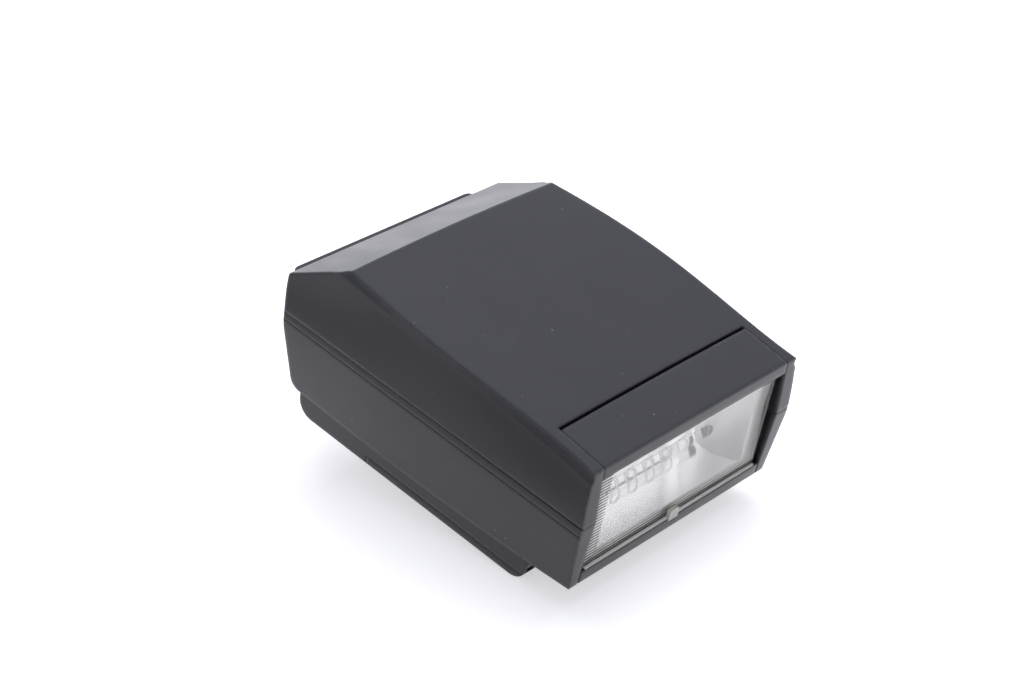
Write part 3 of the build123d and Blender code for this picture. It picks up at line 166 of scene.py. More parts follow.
def blend_colour(tree, share, first, second):
    """A Mix node for colours; returns its result."""
    node = tree.nodes.new("ShaderNodeMix")
    node.data_type = "RGBA"
    feed(tree, node.inputs["Factor"], share)
    feed(tree, node.inputs["A"], first)
    feed(tree, node.inputs["B"], second)
    return node.outputs["Result"]


def blend_value(tree, share, first, second):
    """A Mix node for numbers; returns its result."""
    node = tree.nodes.new("ShaderNodeMix")
    feed(tree, node.inputs["Factor"], share)
    feed(tree, node.inputs["A"], first)
    feed(tree, node.inputs["B"], second)
    return node.outputs["Result"]


def steps(tree, value, *stops):
    """A colour ramp over a value, as (place, grey) stops; returns its colour."""
    ramp = tree.nodes.new("ShaderNodeValToRGB")
    feed(tree, ramp.inputs["Fac"], value)
    while len(ramp.color_ramp.elements) < len(stops):
        ramp.color_ramp.elements.new(0.5)
    for element, (place, grey) in zip(ramp.color_ramp.elements, stops):
        element.position = place
        element.color = (grey, grey, grey, 1)
    return ramp.outputs["Color"]


print("short ways to make materials, sums, blends and ramps are ready")


# %% [markdown]
# The table is one flat sheet, large enough that its edges stay out of sight. It could be a curved
# backdrop, but under a white dome its far edge hardly shows. Its four corners are laid out
# along the slope that was measured above, and it is no part of the flash.

# %% A pale table
FLOOR_HALF = 12.0
floor_mesh = bpy.data.meshes.new("table")
across = Vector((1, 0, 0))
along = floor_normal.cross(across)
signs = ((-1, -1), (1, -1), (1, 1), (-1, 1))
corners = [contact + FLOOR_HALF * (a * across + b * along) for a, b in signs]
floor_mesh.from_pydata([tuple(corner) for corner in corners], [], [(0, 1, 2, 3)])
floor = bpy.data.objects.new("table", floor_mesh)
scene.collection.objects.link(floor)
print("table", 2 * FLOOR_HALF, "m wide, slopes", round(degrees(lean), 2), "degrees under the level model")

# %% [markdown]
# The table's finish has two halves. Its base colour is plain white and takes the shadow. Its glow
# is for rays from the camera, through the window, and off the flash's own gloss. For those last
# ones a ramp across the table paints a reflection: it dims glow and white towards the left as
# painted shade, and lifts the glow towards the right as painted light.

# %% The table's finish
TABLE_GLOW = 0.56
DIM_LEFT = -0.25
FULL_RIGHT = 0.05
TABLE_WHITE = (0.80, 0.80, 0.84, 1)
# Levels of the painted reflection across the table, left to right: painted shade in the gloss on the left,
# painted light on the right.
PAINTED_REFLECTION_LEVELS = (
    (0.0, 1.3), (0.17, 1.2), (0.4, 0.36), (0.5, 0.26),
    (0.58, 0.56), (0.67, 0.95), (0.83, 1.25), (1.0, 1.55),
)
table_finish, tree, shader = new_material("white_table")
shader.inputs["Roughness"].default_value = 0.9
shader.inputs["Specular IOR Level"].default_value = 0.1
light_path = tree.nodes.new("ShaderNodeLightPath")
surface = tree.nodes.new("ShaderNodeNewGeometry")
tree.links.new(maths(tree, "SUBTRACT", 1.0, surface.outputs["Backfacing"]), shader.inputs["Alpha"])
spot = tree.nodes.new("ShaderNodeSeparateXYZ")
tree.links.new(surface.outputs["Position"], spot.inputs[0])
from_left = maths(tree, "SUBTRACT", spot.outputs["X"], DIM_LEFT)
# Painted reflection: the table's glow and white, as the flash's gloss sees them, ramp from dim on the left
# to bright on the right.
painted_reflection_level = steps(tree, maths(tree, "DIVIDE", from_left, FULL_RIGHT - DIM_LEFT, clamp=True), *PAINTED_REFLECTION_LEVELS)
mirrored = light_path.outputs["Is Glossy Ray"]
passed = light_path.outputs["Is Transmission Ray"]
direct = maths(tree, "MAXIMUM", light_path.outputs["Is Camera Ray"], passed)
glow = maths(tree, "MAXIMUM", direct, maths(tree, "MULTIPLY", mirrored, painted_reflection_level))
glow = maths(tree, "MULTIPLY", glow, TABLE_GLOW)
dimmed = blend_colour(tree, painted_reflection_level, (0, 0, 0, 1), TABLE_WHITE)
tree.links.new(blend_colour(tree, mirrored, TABLE_WHITE, dimmed), shader.inputs["Base Color"])
shader.inputs["Emission Color"].default_value = (0.985, 0.985, 1, 1)
tree.links.new(glow, shader.inputs["Emission Strength"])
floor_mesh.materials.append(table_finish)
print("finish", table_finish.name, "over", FULL_RIGHT - DIM_LEFT, "m of card")

# %% [markdown]
# The world is the white dome. Seen directly or through the window it has full strength. As light
# it has half of that, and in the gloss it is darkest towards the left and above full strength high
# over the table; both are faintly cool. A world texture could give the same, but two ramps over
# the direction are enough for such an even tent.

# %% The white dome
DOME_LIGHT = 0.5
OVERHEAD_GLOSS = 0.6
SIDE_SHADE = ((0.0, 0.84), (0.45, 0.8), (0.7, 0.68), (1.0, 0.56))
OVERHEAD = ((0.6, 0.0), (0.74, 1.0))
DOME_TINT = (0.90, 0.91, 1, 1)
world = bpy.data.worlds.new("white_tent")
scene.world = world
world.use_nodes = True
sky = world.node_tree
sky.nodes.clear()
sky_output = sky.nodes.new("ShaderNodeOutputWorld")
sky_glow = sky.nodes.new("ShaderNodeBackground")
path = sky.nodes.new("ShaderNodeLightPath")
direction = sky.nodes.new("ShaderNodeTexCoord")
toward = sky.nodes.new("ShaderNodeVectorMath")
toward.operation = "DOT_PRODUCT"
sky.links.new(direction.outputs["Generated"], toward.inputs[0])
toward.inputs[1].default_value = (-1.0, 0.0, 0.0)
side = maths(sky, "MULTIPLY_ADD", toward.outputs["Value"], 0.5, 0.5)
shade = steps(sky, side, *SIDE_SHADE)
height = sky.nodes.new("ShaderNodeVectorMath")
height.operation = "DOT_PRODUCT"
sky.links.new(direction.outputs["Generated"], height.inputs[0])
height.inputs[1].default_value = floor_normal
overhead = steps(sky, height.outputs["Value"], *OVERHEAD)
shade = maths(sky, "MULTIPLY_ADD", overhead, OVERHEAD_GLOSS, shade)
through = path.outputs["Is Transmission Ray"]
around = blend_value(sky, path.outputs["Is Glossy Ray"], DOME_LIGHT, shade)
plainly = maths(sky, "MAXIMUM", path.outputs["Is Camera Ray"], through)
strength = blend_value(sky, plainly, around, 1.0)
tint = blend_colour(sky, plainly, DOME_TINT, (1, 1, 1, 1))
sky.links.new(tint, sky_glow.inputs["Color"])
sky.links.new(strength, sky_glow.inputs["Strength"])
sky.links.new(sky_glow.outputs[0], sky_output.inputs["Surface"])
print("world", world.name, "gives", DOME_LIGHT, "of its light")


# %% [markdown]
# A large soft lamp overhead gives the shadow its soft shape, to the left and in front. A second
# one, low behind the flash and faintly cool, gives the rear bevel its pale sheen. The first is
# left out of the reflections, where it would wash out the top. Small lamps would give hard
# shadows, so both are wide. Their power is set so that a mid grey surface renders as about the
# grey that it is.

# %% Soft lamps
TOP_SIZE = 0.9
TOP_POWER = 6.6
BACK_WIDTH = 1.3
BACK_HEIGHT = 0.36
BACK_POWER = 1.42


def soft_lamp(name, toward, distance, width, height, power):
    """A rectangular lamp that faces the flash from a direction given over the table."""
    data = bpy.data.lights.new(name, "AREA")
    data.shape = "RECTANGLE"
    data.size = width
    data.size_y = height
    data.energy = power
    lamp = bpy.data.objects.new(name, data)
    direction = (to_part @ Vector(toward)).normalized()
    lamp.location = middle + distance * direction
    lamp.rotation_euler = direction.to_track_quat("Z", "Y").to_euler()
    scene.collection.objects.link(lamp)
    return lamp


top_softbox = soft_lamp("top_softbox", (0.32, 0.14, 1.0), 0.9, TOP_SIZE, TOP_SIZE, TOP_POWER)
top_softbox.visible_glossy = False
back_softbox = soft_lamp("back_softbox", (0.62, 0.78, 0.10), 1.0, BACK_WIDTH, BACK_HEIGHT, BACK_POWER)
back_softbox.data.color = (0.94, 0.95, 1.0)

# %% [markdown]
# ## Effects that several finishes share
#
# Moulded plastic is never one flat colour. Its mould leaves a fine spark-eroded grain, handling
# polishes the edges, which also carry a painted highlight, fingers leave faint broad changes of
# sheen, and dust settles in specks.
# Each effect is a node group, built once, with its own named inputs, and each finish sets them.
# They work in the model's own metres, so the grain has its real size on every part. The first
# cell makes an empty group with its inputs, outputs and position, and a noise to fill it.

# %% Start of a node group
def new_group(name, inputs, outputs):
    """A shader node group with number sockets; returns it, its two ends and the position."""
    group = bpy.data.node_groups.new(name, "ShaderNodeTree")
    for label, value in inputs:
        socket = group.interface.new_socket(label, in_out="INPUT", socket_type="NodeSocketFloat")
        socket.default_value = value
    for label in outputs:
        group.interface.new_socket(label, in_out="OUTPUT", socket_type="NodeSocketFloat")
    entry = group.nodes.new("NodeGroupInput")
    leave = group.nodes.new("NodeGroupOutput")
    place = group.nodes.new("ShaderNodeTexCoord").outputs["Object"]
    return group, entry, leave, place


def noise(tree, place, scale, detail=2.0, stretch=None):
    """A noise over a position in metres; stretch scales the position first."""
    texture = tree.nodes.new("ShaderNodeTexNoise")
    if stretch:
        scaled = tree.nodes.new("ShaderNodeVectorMath")
        scaled.operation = "MULTIPLY"
        tree.links.new(place, scaled.inputs[0])
        scaled.inputs[1].default_value = stretch
        place = scaled.outputs[0]
    tree.links.new(place, texture.inputs["Vector"])
    feed(tree, texture.inputs["Scale"], scale)
    texture.inputs["Detail"].default_value = detail
    return texture.outputs["Fac"]


print("node groups can be started and filled with noise")

# %% [markdown]
# The mould's grain is a noise of about a fifth of a millimetre. Longer waves are blended into its
# height, for the slow ripple that every moulded wall has. A displaced mesh could carry the grain too,
# but it would need millions of faces, and a bump does as well at this size.

# %% Mould grain
WAVES_PER_METRE = 160.0
grain_group, entry, leave, place = new_group(
    "mould_grain", [("Grain Size", 0.00022), ("Wave Share", 0.3)], ["Height", "Tone"],
)
per_metre = maths(grain_group, "DIVIDE", 1.0, entry.outputs["Grain Size"])
fine = noise(grain_group, place, per_metre, 1.0)
waves = noise(grain_group, place, WAVES_PER_METRE, 1.0)
height = blend_value(grain_group, entry.outputs["Wave Share"], fine, waves)
grain_group.links.new(height, leave.inputs["Height"])
grain_group.links.new(fine, leave.inputs["Tone"])
print("group", grain_group.name)

# %% [markdown]
# Fingers and cloths leave broad patches where the sheen is a little higher, and short smears.
# Both are noises; the smears are stretched along the part and cut by a ramp, so that they are
# strong only in places. A painted image would do as well, but it would have to be laid out over
# every part, while a noise fills any shape.

# %% Handling marks
handling_group, entry, leave, place = new_group(
    "handling_marks", [("Patch Size", 0.02), ("Smear Size", 0.006)], ["Patches", "Smears"],
)
patch_scale = maths(handling_group, "DIVIDE", 1.0, entry.outputs["Patch Size"])
patches = noise(handling_group, place, patch_scale, 3.0)
smear_scale = maths(handling_group, "DIVIDE", 1.0, entry.outputs["Smear Size"])
smears = noise(handling_group, place, smear_scale, 4.0, (1.0, 0.35, 1.0))
handling_group.links.new(patches, leave.inputs["Patches"])
handling_group.links.new(steps(handling_group, smears, (0.45, 0.0), (0.75, 1.0)), leave.inputs["Smears"])
print("group", handling_group.name)

# %% [markdown]
# Dust lies as single pale specks. Each cell of a Voronoi texture may hold one speck at its point.
# The cell's own random colour decides whether it does, and how large the speck is. Scattered
# little meshes would do it too, but they would be pieces that the real object doesn't have.

# %% Dust specks
dust_group, entry, leave, place = new_group(
    "dust_specks", [("Spacing", 0.004), ("Speck Size", 0.00012), ("Share", 0.2)], ["Mask"],
)
cells = dust_group.nodes.new("ShaderNodeTexVoronoi")
dust_group.links.new(place, cells.inputs["Vector"])
dust_group.links.new(maths(dust_group, "DIVIDE", 1.0, entry.outputs["Spacing"]), cells.inputs["Scale"])
split = dust_group.nodes.new("ShaderNodeSeparateColor")
dust_group.links.new(cells.outputs["Color"], split.inputs["Color"])
here = maths(dust_group, "LESS_THAN", split.outputs[0], entry.outputs["Share"])
reach = maths(dust_group, "DIVIDE", entry.outputs["Speck Size"], entry.outputs["Spacing"])
reach = maths(dust_group, "MULTIPLY", reach, maths(dust_group, "ADD", split.outputs[1], 0.4))
speck = maths(dust_group, "LESS_THAN", cells.outputs["Distance"], reach)
dust_group.links.new(maths(dust_group, "MULTIPLY", here, speck), leave.inputs["Mask"])
print("group", dust_group.name)

# %% [markdown]
# Edges are rubbed pale and smooth, and the same pale edge is also a painted highlight, a glint
# along each edge, strongest on the shells. A Bevel node gives the normal that a rounded edge would
# have, and where it turns away from the true one there is an edge, so the turn is the mask, broken
# up by a noise. The same soft normal also goes out of the group, to round the edges in the light.

# %% Worn edges and painted glints
EDGE_GAIN = 9.0
wear_and_glint_group, entry, leave, place = new_group(
    "worn_and_glinting_edges", [("Width", 0.0004), ("Patch Size", 0.003), ("Least Turn", 0.02)], ["Mask"],
)
wear_and_glint_group.interface.new_socket("Soft Normal", in_out="OUTPUT", socket_type="NodeSocketVector")
rounded = wear_and_glint_group.nodes.new("ShaderNodeBevel")
rounded.samples = 4
wear_and_glint_group.links.new(entry.outputs["Width"], rounded.inputs["Radius"])
own = wear_and_glint_group.nodes.new("ShaderNodeNewGeometry")
turned = wear_and_glint_group.nodes.new("ShaderNodeVectorMath")
turned.operation = "DOT_PRODUCT"
wear_and_glint_group.links.new(rounded.outputs["Normal"], turned.inputs[0])
wear_and_glint_group.links.new(own.outputs["Normal"], turned.inputs[1])
bend = maths(wear_and_glint_group, "SUBTRACT", 1.0, turned.outputs["Value"])
bend = maths(wear_and_glint_group, "SUBTRACT", bend, entry.outputs["Least Turn"], clamp=True)
bend = maths(wear_and_glint_group, "MULTIPLY", bend, EDGE_GAIN, clamp=True)
rub_scale = maths(wear_and_glint_group, "DIVIDE", 1.0, entry.outputs["Patch Size"])
rubbed = noise(wear_and_glint_group, place, rub_scale, 3.0)
rubbed = steps(wear_and_glint_group, rubbed, (0.35, 0.25), (0.7, 1.0))
wear_and_glint_group.links.new(maths(wear_and_glint_group, "MULTIPLY", bend, rubbed), leave.inputs["Mask"])
wear_and_glint_group.links.new(rounded.outputs["Normal"], leave.inputs["Soft Normal"])
print("group", wear_and_glint_group.name)

# %% [markdown]
# Drawn or ground metal has fine lines along one direction. A noise that is drawn out 25 times
# along X makes them, and a second, wide noise stains the tone as finger acids do. The shader's
# anisotropy is the other way, but it bends only the gloss and draws no line that can be seen.

# %% Drawn and ground metal
STAINS_PER_METRE = 220.0
metal_group, entry, leave, place = new_group(
    "drawn_metal", [("Line Size", 0.00012)], ["Height", "Tone"],
)
line_scale = maths(metal_group, "DIVIDE", 1.0, entry.outputs["Line Size"])
drawn = noise(metal_group, place, line_scale, 2.0, (0.04, 1.0, 1.0))
stains = noise(metal_group, place, STAINS_PER_METRE, 3.0)
metal_group.links.new(drawn, leave.inputs["Height"])
metal_group.links.new(blend_value(metal_group, 0.35, drawn, stains), leave.inputs["Tone"])
print("group", metal_group.name)


# %% [markdown]
# ## Moulded plastic
#
# The two shells, the head and the battery door are one black plastic with a fine satin
# grain. One builder makes it and its relatives, because they differ only in colour, sheen and
# grain: the softer control panel, the dull inner mouldings, the rubber keys and the wheel. The
# sheen comes from the shader's own reflection, and the groups only vary it.

# %% Builder of plastic finishes
def place_group(tree, group, **values):
    """Put a group in a material and set its inputs by name."""
    node = tree.nodes.new("ShaderNodeGroup")
    node.node_tree = group
    for label, value in values.items():
        node.inputs[label.replace("_", " ")].default_value = value
    return node


def add_bump(tree, shader, height, strength, distance, normal=None):
    """Feed a height into a Bump node over an optional softened normal, and that into the shader."""
    bump = tree.nodes.new("ShaderNodeBump")
    bump.inputs["Strength"].default_value = strength
    bump.inputs["Distance"].default_value = distance
    tree.links.new(height, bump.inputs["Height"])
    if normal:
        tree.links.new(normal, bump.inputs["Normal"])
    tree.links.new(bump.outputs["Normal"], shader.inputs["Normal"])


def scaled_colour(colour, factor):
    """A colour made lighter or darker, with its alpha."""
    return (*(min(1.0, part * factor) for part in colour), 1)


GRAIN_DEPTH = 0.00001
DUST_COLOUR = (0.30, 0.30, 0.32, 1)


def moulded(name, colour, roughness, grain=0.00022, edge=0.0004, edge_wear_and_glint=2.0, dust=0.06, specular=0.5):
    """Plastic or rubber: grain, handling marks, pale edges that are part wear and part painted highlight,
    and a few specks of dust.
    """
    material, tree, shader = new_material(name)
    shader.inputs["Specular IOR Level"].default_value = specular
    mould = place_group(tree, grain_group, Grain_Size=grain, Wave_Share=0.3)
    marks = place_group(tree, handling_group, Patch_Size=0.02, Smear_Size=0.006)
    wear_and_glint = place_group(tree, wear_and_glint_group, Width=edge, Patch_Size=0.003, Least_Turn=0.02)
    specks = place_group(tree, dust_group, Spacing=0.0016, Speck_Size=0.00013, Share=dust)
    tone = blend_value(tree, 0.4, mould.outputs["Tone"], marks.outputs["Patches"])
    body = blend_colour(tree, tone, scaled_colour(colour, 0.75), scaled_colour(colour, 1.25))
    # Pale edges: partly wear, and partly a painted highlight along each edge.
    body = blend_colour(tree, wear_and_glint.outputs["Mask"], body, scaled_colour(colour, edge_wear_and_glint))
    body = blend_colour(tree, specks.outputs["Mask"], body, DUST_COLOUR)
    tree.links.new(body, shader.inputs["Base Color"])
    sheen = blend_value(tree, marks.outputs["Patches"], roughness + 0.05, roughness - 0.05)
    smeared = maths(tree, "MULTIPLY", marks.outputs["Smears"], 0.35)
    sheen = blend_value(tree, smeared, sheen, roughness - 0.10)
    sheen = blend_value(tree, wear_and_glint.outputs["Mask"], sheen, roughness - 0.12)
    sheen = blend_value(tree, specks.outputs["Mask"], sheen, 0.9)
    tree.links.new(sheen, shader.inputs["Roughness"])
    add_bump(tree, shader, mould.outputs["Height"], 0.35, GRAIN_DEPTH, wear_and_glint.outputs["Soft Normal"])
    return material


print("plastic builder ready, with grain", GRAIN_DEPTH * 1000, "mm deep")

# %% [markdown]
# The shells are nearly black: what is seen of them is mostly their sheen. The control panel is
# duller and a shade lighter, the inner mouldings have few specks and dull edges, and the wheel
# is harder and glossier, with its teeth rubbed pale. Each finish is kept under its slot's name.

# %% The dark plastics
finishes = {}
# The shells' edges are made four times paler than the shell, mostly as a painted highlight along them.
finishes["housing_plastic"] = moulded(
    "satin_black_shell", (0.0138, 0.0143, 0.0175), 0.36, edge=0.0014, edge_wear_and_glint=4.0,
)
finishes["panel_plastic"] = moulded("matt_black_panel", (0.024, 0.0245, 0.028), 0.48, grain=0.0003)
finishes["inner_plastic"] = moulded(
    "inner_black_moulding", (0.016, 0.016, 0.017), 0.5, dust=0.02, edge_wear_and_glint=1.5,
)
finishes["wheel_plastic"] = moulded(
    "hard_black_wheel", (0.017, 0.017, 0.018), 0.34, edge=0.0003, edge_wear_and_glint=2.6,
)
finishes["key_plastic"] = moulded("switch_black", (0.03, 0.03, 0.033), 0.4, edge=0.0002, edge_wear_and_glint=1.8)
print("plastics", list(finishes))

# %% [markdown]
# The keys are soft rubber with hardly any gloss. The tube's sleeves are pale silicone, which
# stands the heat, and the two strips that join the display to its board are grey. They come from
# the same builder, because rubber is moulded too.

# %% The rubbers
finishes["key_rubber"] = moulded(
    "soft_key_rubber", (0.05, 0.05, 0.054), 0.66,
    grain=0.00015, edge=0.0003, edge_wear_and_glint=1.4, specular=0.35,
)
finishes["sleeve_rubber"] = moulded(
    "pale_silicone", (0.7, 0.7, 0.69), 0.55, grain=0.0002, edge_wear_and_glint=1.1, dust=0.0, specular=0.4,
)
finishes["seal_rubber"] = moulded(
    "grey_seal_rubber", (0.055, 0.055, 0.055), 0.7,
    grain=0.0002, edge_wear_and_glint=1.3, dust=0.02, specular=0.3,
)
print("rubbers", [slot for slot in finishes if slot.endswith("rubber")])


# %% [markdown]
# ## Clear window
#
# The window is clear moulded acrylic with level ribs cut into its inside. It is a thick
# transmitting solid, so it bends what lies behind it. Its roughness rises a little in smears,
# as on any window that has been wiped, and the surface has a very faint moulding ripple. Seen
# over the pale rim of the reflector, each rib shows as a fine dark line between beige ones, so
# the finish draws those lines there, by height and at the ribs' own spacing. A little of the
# acrylic scatters, which lifts the beige ones. The flash tube is drawn as a solid rod, while a
# real one is a thin-walled pipe that hardly bends light, so its index is low.

# %% Builder of clear finishes
RIB_SHADOW = (0.022, 0.018, 0.010, 1)
RIB_ROUGHNESS = 0.5


def clear_solid(name, colour, ior, roughness, smear, clear=1.0, shadow=None):
    """A transmitting solid with faint smears and ripple, and a mask of dark rib shadows."""
    material, tree, shader = new_material(name)
    shader.inputs["Transmission Weight"].default_value = clear
    shader.inputs["IOR"].default_value = ior
    shader.inputs["Metallic"].default_value = 0.0
    marks = place_group(tree, handling_group, Patch_Size=0.012, Smear_Size=0.004)
    specks = place_group(tree, dust_group, Spacing=0.003, Speck_Size=0.00009, Share=0.15)
    body = blend_colour(tree, marks.outputs["Patches"], (*colour, 1), scaled_colour(colour, 0.985))
    body = blend_colour(tree, specks.outputs["Mask"], body, (0.75, 0.75, 0.76, 1))
    film = blend_value(tree, marks.outputs["Smears"], roughness, roughness + smear)
    film = blend_value(tree, specks.outputs["Mask"], film, 0.4)
    if shadow:
        mask = shadow(tree)
        body = blend_colour(tree, mask, body, RIB_SHADOW)
        film = blend_value(tree, mask, film, RIB_ROUGHNESS)
    tree.links.new(body, shader.inputs["Base Color"])
    tree.links.new(film, shader.inputs["Roughness"])
    ripple = place_group(tree, grain_group, Grain_Size=0.004, Wave_Share=0.5)
    add_bump(tree, shader, ripple.outputs["Height"], 0.1, 0.00002)
    return material


print("clear builder ready, with rib shadows of roughness", RIB_ROUGHNESS)

# %% [markdown]
# There are three clear finishes. The window has the rib lines and scatters a little, the clip is
# frosted and mostly milky, and the tube is quartz. The display's pane takes the window's finish;
# it lies clear of the zones that have lines. Those zones are found from the reflector's own box,
# so the lines follow its rim if its size changes.

# %% Clear acrylic and glass
RIB_PITCH = 0.00087
RIB_SHARE = 0.6
RIM_WIDTH = 0.0038
RIM_EDGE = 0.0040
WINDOW_CLEAR = 0.93
CLIP_CLEAR = 0.35
THIN_WALL_INDEX = 1.12
window_low, window_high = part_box("lens_panel")
trough_low, trough_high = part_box("reflector")


def rib_shadows(tree):
    """Fine level lines in the ribbed window, only where it lies over the rim."""
    spot = tree.nodes.new("ShaderNodeSeparateXYZ")
    tree.links.new(tree.nodes.new("ShaderNodeTexCoord").outputs["Object"], spot.inputs[0])
    line = maths(tree, "FRACT", maths(tree, "DIVIDE", spot.outputs["Z"], RIB_PITCH))
    line = maths(tree, "GREATER_THAN", line, RIB_SHARE)
    off_centre = maths(tree, "ABSOLUTE", spot.outputs["X"])
    over_side = maths(tree, "GREATER_THAN", off_centre, trough_high.x - RIM_WIDTH)
    over_foot = maths(tree, "LESS_THAN", spot.outputs["Z"], trough_low.z + RIM_EDGE)
    return maths(tree, "MULTIPLY", line, maths(tree, "MAXIMUM", over_side, over_foot))


finishes["window_acrylic"] = clear_solid(
    "clear_acrylic", (1.0, 1.0, 0.995), 1.49, 0.01, 0.02, WINDOW_CLEAR, rib_shadows,
)
finishes["clip_acrylic"] = clear_solid("frosted_clip", (0.90, 0.90, 0.82), 1.49, 0.38, 0.1, CLIP_CLEAR)
finishes["tube_glass"] = clear_solid("tube_quartz", (0.99, 0.99, 1.0), THIN_WALL_INDEX, 0.01, 0.01)
print("clear", [finishes[slot].name for slot in ("window_acrylic", "clip_acrylic", "tube_glass")])
print("window back to front", round((window_high.y - window_low.y) * 1000, 2), "mm")

# %% [markdown]
# ## Reflector
#
# The trough behind the tube is pressed from bright anodised sheet: a mirror, slightly wavy and
# never quite clean. Its flat rim, which the window's ribs rest against, is left in a warm white
# satin. It could be a second material on its own faces, but one material with a mask needs no
# list of faces: the rim is found by its place, as the band of the part nearest the window.

# %% Mirror trough and satin rim
RIM_DEPTH = 0.0006


def mirror_sheet(name, roughness, with_rim):
    """Bright pressed sheet; with_rim adds the satin white rim next to the window."""
    material, tree, shader = new_material(name)
    drawn = place_group(tree, metal_group, Line_Size=0.0006)
    marks = place_group(tree, handling_group, Patch_Size=0.008, Smear_Size=0.003)
    silver = blend_colour(tree, drawn.outputs["Tone"], (0.95, 0.95, 0.945, 1), (0.99, 0.99, 0.99, 1))
    gloss = blend_value(tree, marks.outputs["Patches"], roughness - 0.03, roughness + 0.04)
    if with_rim:
        spot = tree.nodes.new("ShaderNodeSeparateXYZ")
        tree.links.new(tree.nodes.new("ShaderNodeTexCoord").outputs["Object"], spot.inputs[0])
        rim = maths(tree, "LESS_THAN", spot.outputs["Y"], trough_low.y + RIM_DEPTH)
        satin = blend_colour(tree, marks.outputs["Patches"], (0.93, 0.92, 0.87, 1), (0.98, 0.98, 0.96, 1))
        silver = blend_colour(tree, rim, silver, satin)
        gloss = blend_value(tree, rim, gloss, 0.38)
    tree.links.new(silver, shader.inputs["Base Color"])
    tree.links.new(gloss, shader.inputs["Roughness"])
    shader.inputs["Metallic"].default_value = 1.0
    waves = place_group(tree, grain_group, Grain_Size=0.005, Wave_Share=0.4)
    add_bump(tree, shader, waves.outputs["Height"], 0.04, 0.0001)
    return material


finishes["mirror_metal"] = mirror_sheet("bright_reflector", 0.14, True)
finishes["mirror_cheek"] = mirror_sheet("satin_reflector_end", 0.28, False)
print("rim within", round(RIM_DEPTH * 1000, 2), "mm of", round(trough_low.y * 1000, 2))


# %% [markdown]
# ## Metals
#
# The foot is a satin stamped plate, the battery contacts are bright springs, the shoe contacts
# are gilt and the screws are blackened. Each could have a material of its own, but metals differ
# mostly in colour and polish, so they share one builder: drawn lines that vary both, with
# brighter rubbed edges.

# %% Metals
def bare_metal(name, colour, roughness, lines=0.00012, depth=0.000004, edge=0.0002):
    """A drawn or ground metal with rubbed edges."""
    material, tree, shader = new_material(name)
    shader.inputs["Metallic"].default_value = 1.0
    drawn = place_group(tree, metal_group, Line_Size=lines)
    wear_and_glint = place_group(tree, wear_and_glint_group, Width=edge, Patch_Size=0.0015, Least_Turn=0.02)
    marks = place_group(tree, handling_group, Patch_Size=0.006, Smear_Size=0.002)
    body = blend_colour(tree, drawn.outputs["Tone"], scaled_colour(colour, 0.8), scaled_colour(colour, 1.15))
    body = blend_colour(tree, wear_and_glint.outputs["Mask"], body, scaled_colour(colour, 1.35))
    tree.links.new(body, shader.inputs["Base Color"])
    sheen = blend_value(tree, marks.outputs["Patches"], roughness - 0.06, roughness + 0.08)
    sheen = blend_value(tree, wear_and_glint.outputs["Mask"], sheen, max(0.05, roughness - 0.12))
    tree.links.new(sheen, shader.inputs["Roughness"])
    add_bump(tree, shader, drawn.outputs["Height"], 0.4, depth)
    return material


finishes["foot_metal"] = bare_metal("satin_foot_plate", (0.56, 0.56, 0.57), 0.34)
finishes["pin_metal"] = bare_metal("bright_pin_metal", (0.82, 0.82, 0.81), 0.32)
finishes["contact_metal"] = bare_metal("spring_contact_metal", (0.70, 0.69, 0.66), 0.22)
finishes["gold_metal"] = bare_metal("gilt_contact", (0.83, 0.62, 0.25), 0.2)
finishes["screw_steel"] = bare_metal("blackened_screw", (0.12, 0.12, 0.125), 0.38)
print("metals", [slot for slot in finishes if slot.endswith(("metal", "steel"))])


# %% [markdown]
# ## Inside parts
#
# The inner parts show when the battery door or the head is open, and in any view of the pieces
# apart. A circuit board is lacquered over green glass cloth, with a weave that just shows. The
# coils are fine varnished wire, and the capacitor and the cells wear a shrunk film.
#
# The board's cloth is two wave textures, across and along, of which the higher one wins. Its
# tracks are the joints of a brick texture, faint under the lacquer. The lacquer is the coat.

# %% Circuit board
THREADS_SCALE = 500.0
TRACKS_SCALE = 260.0


def lacquered_board(name):
    """Green glass cloth under lacquer, with a faint grid of tracks."""
    material, tree, shader = new_material(name)
    shader.inputs["Coat Weight"].default_value = 0.3
    place = tree.nodes.new("ShaderNodeTexCoord").outputs["Object"]
    weave_height = None
    for axis in ("X", "Y"):
        weave = tree.nodes.new("ShaderNodeTexWave")
        weave.bands_direction = axis
        weave.inputs["Scale"].default_value = THREADS_SCALE
        weave.inputs["Distortion"].default_value = 1.0
        tree.links.new(place, weave.inputs["Vector"])
        thread = weave.outputs["Fac"]
        weave_height = thread if weave_height is None else maths(tree, "MAXIMUM", weave_height, thread)
    tracks = tree.nodes.new("ShaderNodeTexBrick")
    tree.links.new(place, tracks.inputs["Vector"])
    tracks.inputs["Scale"].default_value = TRACKS_SCALE
    tracks.inputs["Mortar Size"].default_value = 0.05
    copper = maths(tree, "MULTIPLY", tracks.outputs["Fac"], 0.5)
    green = blend_colour(tree, weave_height, (0.018, 0.10, 0.045, 1), (0.03, 0.16, 0.07, 1))
    tree.links.new(blend_colour(tree, copper, green, (0.10, 0.26, 0.10, 1)), shader.inputs["Base Color"])
    tree.links.new(blend_value(tree, weave_height, 0.25, 0.38), shader.inputs["Roughness"])
    add_bump(tree, shader, weave_height, 0.3, 0.00002)
    return material


finishes["board"] = lacquered_board("green_board")
print("board", finishes["board"].name)


# %% [markdown]
# The coils could be modelled as real wire, but it is thinner than a hair and only its sheen is
# seen. A wave texture makes the turns, darker between them and raised by a bump.

# %% Wound wire
WIRE_SCALE = 900.0


